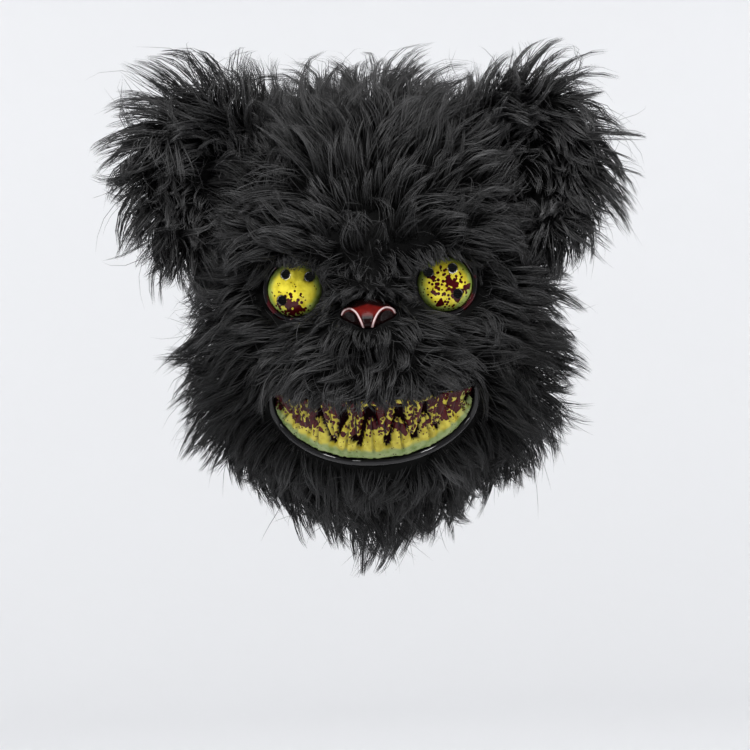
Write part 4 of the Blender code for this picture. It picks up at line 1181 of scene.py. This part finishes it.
def lip_fringe(draw):
    """Strands along the upper lip, which hang down over the teeth."""
    count = FRINGES["lip"][0]
    side = draw.uniform(-0.97, 0.97, count) * MOUTH_HALF_WIDTH
    height = mouth_edges(side)[1] + 2 * UPPER_LIP_RADIUS + draw.uniform(0.0, 0.0050, count)
    return fringe("lip", side, height, 0.45 * side / MOUTH_HALF_WIDTH, draw)


def painted_shade_of_pile(side, height):
    """How pale the face's pile is: painted shade darkens it low on the cheeks and chin."""
    cheek = smooth_step(0.042, 0.070, np.abs(side)) * smooth_step(0.0, -0.045, height)
    chin = smooth_step(-0.095, -0.115, height)
    return 1 - np.maximum(CHEEK_PAINTED_SHADE * cheek, CHIN_PAINTED_SHADE * chin)


def region_of(side, height):
    """The name of the piece of pile that a place of the face belongs to."""
    muzzle = (np.abs(side) < 0.060) & (height < 0.004) & (height > -0.070)
    names = np.where(side < 0, "cheek_left", "cheek_right").astype("<U12")
    names[height > 0.006] = "brow"
    names[height > 0.052] = "crown"
    names[muzzle] = "muzzle"
    names[height < -0.098] = "chin"
    return names


def make_cloth(ground):
    """The fur fabric's knitted ground over the shell, cut out round the face."""
    cloth = face_wall("fur_ground_cloth", GAP + FUR_BACKING, GAP, 110, 46, ground)
    mouth = mouth_loop(CLOTH_LIP_CLEAR * LIP_RADIUS, CLOTH_LIP_CLEAR * UPPER_LIP_RADIUS, 24)
    nose = np.stack(round_nose(circle(40), GAP), axis=1)
    cut(cloth, [*opening_tools(mouth, EYE_RADIUS + RING_WALL + 2 * GAP), prism(nose)])
    dress(cloth, "face_fur")


def make_face_pile(pile):
    """The pile of the face, a piece for each of its regions."""
    draw = np.random.default_rng(FACE_SEED)
    columns, rings = 160, 60
    outer = face_grid(columns, rings, GAP + FUR_BACKING)
    side, height = place_of(outer)
    triangles = split_faces(grid_faces(columns, rings))
    closeness = add_bumps(CLOSER_ROWS, side, height, 1.0)
    closeness += CROWN_CLOSER * smooth_step(0.080, 0.098, height)
    closeness *= ~(bare_at_root(side, height) | inside_ear(outer))
    normals = normals_of(outer, triangles)
    roots, facing = scatter(outer, triangles, normals, FACE_STRANDS, draw, closeness)
    stays = ~bare_at_root(*place_of(roots)) & ~inside_ear(roots)
    roots, facing = roots[stays], facing[stays]
    side, height = place_of(roots)
    sideways, upward, start, end, length = lie_of_pile(side, height)
    mirror = np.tanh(side / COMB_BLEND)
    combs = np.stack([sideways * mirror, np.full_like(side, COMB_BACKWARD), upward], axis=1)
    leans = np.radians(np.stack([start, end], axis=1))
    roots = roots - facing * ROOT_SINK
    grown = [grow(roots, facing, combs, leans, length / 1000, draw)]
    grown += [brow_fringe(hand, draw) for hand in HANDS.values()]
    grown += [make(draw) for make in (nose_fringe, under_nose, lip_fringe)]
    paths, shade, width = (np.concatenate(parts) for parts in zip(*grown))
    stays = keep_openings_clear(paths, draw)
    side, height = place_of(paths[:, 0])
    # Painted shade darkens the pile low on the cheeks and on the chin.
    shade = shade * painted_shade_of_pile(side, height)
    names = region_of(side, height)
    for name in sorted(set(names)):
        picked = stays & (names == name)
        fur = strand_mesh("pile_" + name, paths[picked], shade[picked], width[picked], pile, draw)
        dress(fur)


# Moulded face


def mouth_loop(below, above, count):
    """The mouth opening's outline, grown by these lengths."""
    wide = MOUTH_HALF_WIDTH + below
    turns = np.linspace(math.pi, 2 * math.pi, 2 * count)
    height = -MOUTH_DROP + (MOUTH_DEPTH + below) * np.sin(turns)
    low = np.stack([wide * np.cos(turns), height], axis=1)
    side = np.linspace(wide, -wide, count)
    return np.concatenate([low, np.stack([side, mouth_edges(side, below, above)[1]], axis=1)])


def eye_matrix(hand):
    """From an eye's own coordinates, turned about +Y at its opening, to the frame."""
    middle = on_face(np.array([hand * EYE_SIDE]), np.array([0.0]))[0]
    return Matrix.Translation(middle) @ Matrix.Rotation(hand * EYE_TURN, 4, "Z")


def face_wall(name, front, back, columns, rings, material):
    """A wall that follows the face between two offsets from the shell's outer surface."""
    outer, inner = face_grid(columns, rings, front), face_grid(columns, rings, back)
    faces = grid_faces(columns, rings) + grid_faces(columns, rings, len(outer), False)
    last = len(outer) - columns
    for column in range(columns):
        after = (column + 1) % columns
        behind = len(outer) + last
        faces.append((last + column, behind + column, behind + after, last + after))
    return add_object(name, np.concatenate([outer, inner]), faces, material)


def opening_tools(mouth, radius):
    """What the face's openings are cut with: the mouth's outline, and a rod for each eye."""
    tools = [prism(mouth)]
    for hand in HANDS.values():
        rod = turned("rod", [(radius, -3 * RING_BACK), (radius, 3 * RING_BACK)], 64)
        rod.matrix_world = eye_matrix(hand)
        tools.append(rod)
    return tools


def make_shell(black, socket):
    """The moulded shell with its socket rings, and the rolled lip round the mouth."""
    shell = face_wall("shell_moulding", 0.0, -SHELL_WALL, 120, 52, black)
    inside = EYE_RADIUS + GAP
    cut(shell, opening_tools(mouth_loop(0, 0, 24), inside))
    shell.data.set_sharp_from_angle(angle=math.radians(40))
    dress(shell, "shell")
    outside = inside + RING_WALL
    roll = (outside - inside) / 2
    turns = np.linspace(0, math.pi, 9)
    crest = [(inside + roll - roll * math.cos(a), -RING_FRONT - 0.8 * roll * math.sin(a)) for a in turns]
    profile = crest + [(outside, RING_BACK), (inside, RING_BACK)]
    for side, hand in HANDS.items():
        ring = turned("socket_ring_" + side, profile, 64, socket, closed=True)
        ring.data.transform(eye_matrix(hand))
        dress(ring)
    dress(make_lip(black))


def make_lip(black):
    """A rolled edge round the mouth, thick below and thin above."""
    sides = 16
    loop = mouth_loop(0.4 * LIP_RADIUS, 0.4 * UPPER_LIP_RADIUS, 60)
    loop = loop[np.linalg.norm(loop - np.roll(loop, 1, axis=0), axis=1) > 0.0002]
    side, height = loop.T
    corner = -MOUTH_DROP + MOUTH_CORNER - 0.5 * MOUTH_TOP_SAG
    lower = 1 - smooth_step(corner - 0.010, corner, height)
    radii = UPPER_LIP_RADIUS + (LIP_RADIUS - UPPER_LIP_RADIUS) * lower
    line = on_face(side, height, np.maximum(radii - 0.5 * SHELL_WALL, 0.0))
    along = unit(np.roll(line, -1, axis=0) - np.roll(line, 1, axis=0))
    across = unit(np.cross(along, surface_normal(side, height)))
    out = np.cross(across, along)
    angles = circle(sides)[:, None, None]
    around = np.cos(angles) * across + np.sin(angles) * out
    points = (line + radii[:, None] * around).transpose(1, 0, 2).reshape(-1, 3)
    return add_object("mouth_lip", points, tube_faces(len(line), sides, True), black)


def near_holes(side, height, holes, radius, ends):
    """1 in round holes and 0 away from them. It changes between two shares of their radius."""
    near = [np.hypot(side - across, height - up) / radius for across, up in holes]
    return np.max([smooth_step(*ends, share) for share in near], axis=0)


def make_eye(name, hand, material, black):
    """A domed cap with three see-through holes and a flange behind the socket ring."""
    flange_front = RING_BACK + GAP
    inside, back, front = EYE_RADIUS - EYE_WALL, flange_front + EYE_WALL, -RING_FRONT
    turns = np.linspace(0, EYE_DOME_TURN, 12)
    end, crown = math.cos(EYE_DOME_TURN), math.sin(EYE_DOME_TURN)

    def dome(radius, bulge):
        rows = [(radius * math.cos(a), front - bulge * math.sin(a)) for a in turns]
        for share in np.linspace(1, 0.03, 14)[1:]:
            rise = crown + (1 - crown) * (1 - share * share)
            rows.append((radius * end * share, front - bulge * rise))
        return rows

    hollow = dome(inside, EYE_BULGE - EYE_WALL)[::-1]
    ring = EYE_RADIUS + GAP + RING_WALL
    flange = [(inside, back), (ring, back), (ring, flange_front), (EYE_RADIUS, flange_front)]
    cap = turned(name + "_cap", hollow + flange + dome(EYE_RADIUS, EYE_BULGE), 64, material)
    holes = [(hand * outward * EYE_RADIUS, up * EYE_RADIUS) for outward, up in EYE_HOLES]
    tools = []
    for across, up in holes:
        reach = [(EYE_HOLE_RADIUS, front + RING_BACK), (EYE_HOLE_RADIUS, front - 2 * EYE_BULGE)]
        tool = turned("hole", reach, 28)
        tool.location = (across, 0.0, up)
        tools.append(tool)
    cut(cap, tools)
    corner = math.radians(50)
    apply_modifier(cap, "BEVEL", width=0.00035, segments=2, limit_method="ANGLE", angle_limit=corner)
    x, y, z = points_of(cap).T
    outward, upward, reach = EYE_SPLASHES[name]
    apart = np.hypot(hand * x / EYE_RADIUS - outward, z / EYE_RADIUS - upward)
    # Near black in and round the holes is painted shade; on the cap's back it is bare plastic.
    painted_edge_light_and_shade = near_holes(x, z, holes, EYE_HOLE_RADIUS, (1.22, 1.02))
    set_attribute(cap, "tint", smooth_step(0.60, 1.0, np.hypot(x, z) / EYE_RADIUS))
    set_attribute(cap, "splash", smooth_step(reach, 0.35 * reach, apart))
    set_attribute(cap, "deep", np.maximum(painted_edge_light_and_shade, smooth_step(0.0, 0.003, y)))
    cap.data.materials.append(black)
    for polygon in cap.data.polygons:
        if polygon.normal.dot(polygon.center - Vector((0.0, back, 0.0))) < 0:
            polygon.material_index = 1
    cap.data.transform(eye_matrix(hand))
    cap.data.set_sharp_from_angle(angle=math.radians(45))
    dress(cap, name)


def wing_distance(across, up):
    """How far places of the nose lie from the edge of a nostril's wing."""
    line = spline(NOSE_WING, np.linspace(0, len(NOSE_WING) - 1, 40))
    apart = np.hypot(np.abs(across)[:, None] - line[:, 0], (up[:, None] - line[:, 1]) * 0.6)
    return apart.min(axis=1)


def make_nose(material):
    """A glossy pad whose two nostrils lie under raised, arched wings."""
    columns, rings = 96, 40
    turn = circle(columns)
    shares = np.linspace(0, 1, rings + 1)[1:]
    wide = np.sin(turn) * nose_narrow(np.cos(turn))
    across = np.concatenate([[0.0], np.outer(shares, wide).ravel()])
    up = np.concatenate([[0.0], np.outer(shares, np.cos(turn)).ravel()])
    side, height = across * NOSE_HALF_WIDTH, -NOSE_DROP + up * NOSE_HALF_HEIGHT
    share = np.concatenate([[0.0], np.repeat(shares, columns)])
    pad = np.sqrt(np.clip(1.03 - share**3.4, 0.0, 1))
    wing_and_highlight = np.exp(-((wing_distance(across, up) / 0.062) ** 2))
    hollow = bump((np.abs(across) - 0.66) / 0.36, (up + 0.40) / 0.66, 2.0)
    cleft = np.exp(-((across / 0.20) ** 2)) * smooth_step(0.3, -0.9, up)
    low = smooth_step(0.30, -0.50, up) * smooth_step(0.30, 0.50, np.abs(across))
    rise = pad * (0.86 - 0.12 * cleft - 0.38 * hollow - 0.20 * low) + 0.20 * wing_and_highlight * np.sqrt(pad)
    points = on_face(side, height)
    points[:, 1] -= np.maximum(NOSE_RISE * rise, -0.0002)
    nose = add_object("nose_pad", points, grid_faces(columns, rings), material, closed=False)
    dark_top = smooth_step(0.35, 0.85, up + 0.45 * np.abs(across))
    dark_foot = smooth_step(0.15, -0.50, up)
    deep = np.clip(1.4 * hollow + 1.2 * low + dark_top + dark_foot, 0, 1)
    # The ridge of each wing is painted pale as a highlight and kept clear of the dark.
    set_attribute(nose, "deep", deep * (1 - wing_and_highlight))
    set_attribute(nose, "painted_edge_light_and_shade", wing_and_highlight)
    apply_modifier(nose, "SOLIDIFY", thickness=0.0012, offset=-1.0)
    dress(nose, "nose")


def tooth_relief(side, height, root, tip, half_width, rise):
    """How far one pointed tooth stands out at places of the mouth."""
    way = np.subtract(tip, root)
    length = np.linalg.norm(way)
    way = way / length
    along = ((side - root[0]) * way[0] + (height - root[1]) * way[1]) / length
    across = (side - root[0]) * way[1] - (height - root[1]) * way[0]
    point = np.clip(along, 0, 1)
    reach = half_width * np.clip(1 - point**1.5, 0, 1) ** 0.8
    crown = np.clip(1 - (np.abs(across) / np.maximum(reach, 1e-6)) ** 2.2, 0, 1) ** 0.45
    inside = (along > -0.3) & (along < 1) & (np.abs(across) < reach)
    groove = np.exp(-((across / TOOTH_GROOVE) ** 2)) * smooth_step(0.02, 0.16, along)
    return np.where(inside, rise * crown * (1 - 0.40 * point**2) * (1 - 0.88 * groove), 0.0)


def rows_of_teeth(side, height):
    """How far the teeth stand out at places of the mouth, and 1 where the upper row does."""
    draw = np.random.default_rng(TEETH_SEED)
    teeth, upper = np.zeros((2, len(side)))
    for root, reach, fewer, width, rise in TEETH_ROWS:
        count = TEETH_PER_ROW - fewer
        for index in range(count):
            share = (2 * index + 1 - count) / TEETH_PER_ROW
            middle = MOUTH_HALF_WIDTH * math.sin(TEETH_SPREAD * share)
            places = np.array([middle, middle * (1 - TOOTH_LEAN) + draw.normal(0, TIP_DRIFT)])
            bottom, ceiling = mouth_edges(places)
            level = np.array([root, root + (reach - root) * draw.uniform(*REACH_SPREAD)])
            heights = bottom + level * (ceiling - bottom)
            half = width * MOUTH_HALF_WIDTH / TEETH_PER_ROW * draw.uniform(*TOOTH_WIDTH_SPREAD)
            tooth = tooth_relief(side, height, *zip(places, heights), half, rise)
            upper = np.where(tooth > teeth, root, upper)
            teeth = np.maximum(teeth, tooth)
    return teeth, upper


def ridge(place, middle, half_width, rise):
    """Height of a rounded ridge at places across it."""
    return rise * np.sqrt(np.clip(1 - ((place - middle) / half_width) ** 2, 0, 1))


def make_teeth(material, gap_shade, black):
    """One moulded plate: a rolled gum, and two rows of pointed teeth that close on each other."""
    wide, tall = 230, 78
    turns = np.linspace(-1, 1, wide) * math.pi / 2 * 0.985
    side = np.tile((MOUTH_HALF_WIDTH + TEETH_FLANGE) * np.sin(turns), tall)
    low, top = mouth_edges(side, TEETH_FLANGE, TEETH_FLANGE)
    height = low + np.repeat(np.linspace(0, 1, tall), wide) * (top - low)
    low, top = mouth_edges(side)
    teeth, upper = rows_of_teeth(side, height)
    above = height - low
    gums = np.maximum(ridge(above, *LOWER_GUM), ridge(top - height, *UPPER_GUM))
    relief = np.maximum(teeth, gums)
    hole = near_holes(side, height, BREATH_HOLES, BREATH_HOLE_RADIUS, (1.15, 0.80))
    relief = relief * (1 - hole)
    inside = in_mouth(side, height, -0.75 * LIP_RADIUS, -UPPER_LIP_RADIUS)
    relief = relief * np.where(inside, 1.0, 0.12)
    points = on_face(side, height, relief - SHELL_WALL - GAP)
    faces = []
    for row in range(tall - 1):
        for k in range(wide - 1):
            first = row * wide + k
            faces.append((first, first + 1, first + wide + 1, first + wide))
    plate = add_object("teeth_moulding", points, faces, material, closed=False)
    share = np.clip(above / np.maximum(top - low, 1e-4), 0, 1)
    corner = smooth_step(0.74, 0.96, np.abs(side) / MOUTH_HALF_WIDTH)
    set_attribute(plate, "tint", np.maximum(smooth_step(0.0080, 0.0042, above), 0.9 * corner))
    splash = np.maximum(smooth_step(0.24, 0.52, share), 0.9 * upper * (share > 0.2))
    set_attribute(plate, "splash", splash)
    # Painted shade: near black in low places between teeth and gums and in the breath holes.
    deep = np.maximum(smooth_step(0.0014, 0.0004, relief), hole)
    set_attribute(plate, "deep", deep)
    plate.data.materials.append(gap_shade)
    plate.data.materials.append(black)
    # The darkest faces take the near black of painted shade.
    shaded = deep[np.array(faces)].mean(axis=1) > 0.6
    plate.data.polygons.foreach_set("material_index", shaded.astype(np.int32))
    apply_modifier(plate, "SOLIDIFY", thickness=TEETH_PLATE, offset=-1.0, material_offset=2)
    dress(plate, "teeth")


# Strap


def strap_side(depths):
    """Side of the band's outer face against the shell's inner wall, at depths from the rim."""
    narrowest = np.full(len(depths), HALF_WIDTH)
    depths = np.minimum(depths, -0.0005)
    for share in (-0.5, 0.0, 0.5):
        height = np.full(len(depths), STRAP_HEIGHT + STRAP_WIDTH * share)
        low, high = np.full((2, len(depths)), [[0.5 * HALF_WIDTH], [1.1 * HALF_WIDTH]])
        for _ in range(40):
            middle = (low + high) / 2
            inside = (rim_share(middle, height) < 1) & (surface_y(middle, height) < depths)
            low, high = np.where(inside, middle, low), np.where(inside, high, middle)
        slope = surface_normal(low, height)[:, 0]
        narrowest = np.minimum(narrowest, low - (SHELL_WALL + STRAP_CLEARANCE) / slope)
    return narrowest


def make_strap(material):
    """The woven band behind the head, with rounded edges, its ends inside the shell's sides."""
    ahead = np.linspace(-STRAP_OVERLAP, 0.0, 14)
    start = strap_side(ahead)
    turns = np.linspace(0, math.pi, 100)[1:-1]
    left = np.stack([-start, ahead], axis=1)
    behind = np.stack([-start[-1] * np.cos(turns), STRAP_REACH * np.sin(turns)], axis=1)
    line = np.concatenate([left, behind, (left * (-1, 1))[::-1]])
    along = unit(np.gradient(line, axis=0))
    inward = np.stack([along[:, 1], -along[:, 0]], axis=1)
    lengths = np.concatenate([[0], np.cumsum(np.linalg.norm(np.diff(line, axis=0), axis=1))])
    half, thick = STRAP_WIDTH / 2, STRAP_THICKNESS / 2
    rows = [(half * s, 0.0) for s in np.linspace(-0.985, 0.985, 13)]
    rows += [(half, 0.5 * thick), (half, 1.5 * thick)]
    rows += [(-z, 2 * thick) for z, _ in rows[:13]]
    rows += [(-half, 1.5 * thick), (-half, 0.5 * thick)]
    points = []
    for (x, y), (in_x, in_y) in zip(line, inward):
        points += [(x + in_x * d, y + in_y * d, STRAP_HEIGHT + z) for z, d in rows]
    faces = tube_faces(len(line), len(rows), False)
    strap = add_object("strap_band", np.array(points) + FACE_ORIGIN, faces, material)
    strap.data.set_sharp_from_angle(angle=math.radians(50))
    set_attribute(strap, "along", np.repeat(lengths, len(rows)))
    dress(strap, "strap")


# Stage, light and camera


def make_stage():
    """A pale floor that curves up behind the mask into a round backdrop."""
    nodes = Nodes("pale_backdrop", Roughness=0.9)
    nodes.colour(nodes.noise(nodes.place(), 0.7), (0.80, 0.805, 0.82), (0.83, 0.835, 0.85))
    floor_z = FACE_ORIGIN[2] - 0.62
    reach, bend, wall = 2.9, 1.1, 3.4
    columns = 96
    angles = circle(columns)
    turns = np.linspace(0, math.pi / 2, 14)
    profile = [(reach + bend * math.sin(a), bend * (1 - math.cos(a))) for a in turns]
    profile += [(reach + bend, wall)]
    points = [(0.0, 0.0, floor_z)]
    points += [(r * math.cos(a), r * math.sin(a), floor_z + h) for r, h in profile for a in angles]
    faces = [(0, 1 + k, 1 + (k + 1) % columns) for k in range(columns)]
    for row in range(len(profile) - 1):
        for k in range(columns):
            after = (k + 1) % columns
            first, second = 1 + row * columns, 1 + (row + 1) * columns
            if math.sin(angles[k]) > -0.45:
                faces.append((first + k, second + k, second + after, first + after))
    add_object("backdrop", points, faces, nodes.material, closed=False)


def add_light(name, place, size, power, aim):
    light = bpy.data.lights.new(name, "AREA")
    light.shape = "RECTANGLE"
    light.size, light.size_y = size
    light.energy = power
    lamp = bpy.data.objects.new(name, light)
    lamp.location = place
    lamp.rotation_euler = (Vector(aim) - Vector(place)).to_track_quat("-Z", "Y").to_euler()
    bpy.context.scene.collection.objects.link(lamp)


def make_light():
    for name, (place, size, power) in SOFTBOXES.items():
        add_light(name, place, size, power, (0.0, 0.0, FACE_ORIGIN[2] - 0.05))
    for side, hand in HANDS.items():
        place, aim = (2.1 * hand, 1.0, 1.6), (0.3 * hand, 4.0, 0.2)
        add_light("backdrop_light_" + side, place, (1.2, 1.2), 29.0, aim)
    world = bpy.data.worlds.new("studio")
    world.use_nodes = True
    background = world.node_tree.nodes["Background"]
    background.inputs["Color"].default_value = (0.93, 0.96, 1.0, 1)
    background.inputs["Strength"].default_value = 0.16
    bpy.context.scene.world = world


def make_camera():
    camera = bpy.data.cameras.new("camera")
    camera.sensor_width = SENSOR_MM
    camera.lens = SENSOR_MM * CAMERA_DISTANCE / FRAME_WIDTH
    view = bpy.data.objects.new("camera", camera)
    aim = Matrix.Translation((AIM_SIDE, 0.0, FACE_ORIGIN[2] - AIM_BELOW_EYES))
    back = Matrix.Translation((0.0, -CAMERA_DISTANCE, 0.0))
    place = aim @ Matrix.Rotation(CAMERA_TURN, 4, "Z") @ back
    turn = Matrix.Rotation(CAMERA_ROLL, 4, "Y") @ Matrix.Rotation(math.pi / 2, 4, "X")
    view.matrix_world = place @ turn
    bpy.context.scene.collection.objects.link(view)
    bpy.context.scene.camera = view
    bpy.context.scene.view_settings.view_transform = "Standard"


black = gloss_black_material()
ground = backing_material()
pile = pile_material()
make_shell(black, socket_material())
for hand_name, hand_side in HANDS.items():
    eye_name = "eye_" + hand_name
    paint_place = EYE_PAINT_PLACES[hand_name]
    paint = painted_material(eye_name + "_paint", paint_place, 170.0, 1.0, 0.3, 0.08)
    make_eye(eye_name, hand_side, paint, black)
make_nose(nose_material())
paint = painted_material("teeth_paint", (0.7, 0.1, 0.2), 150.0, 0.62, 0.30, 0.03)
make_teeth(paint, gap_shade_material(), black)
make_cloth(ground)
make_face_pile(pile)
for hand_name, hand_side in HANDS.items():
    make_ear("ear_" + hand_name, hand_side, ground, pile)
steel = steel_material()
for hand_name in HANDS:
    rivet_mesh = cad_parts["rivet_" + hand_name].data
    rivet_mesh.materials.clear()
    rivet_mesh.materials.append(steel)
make_strap(elastic_material())
make_stage()
make_light()
make_camera()
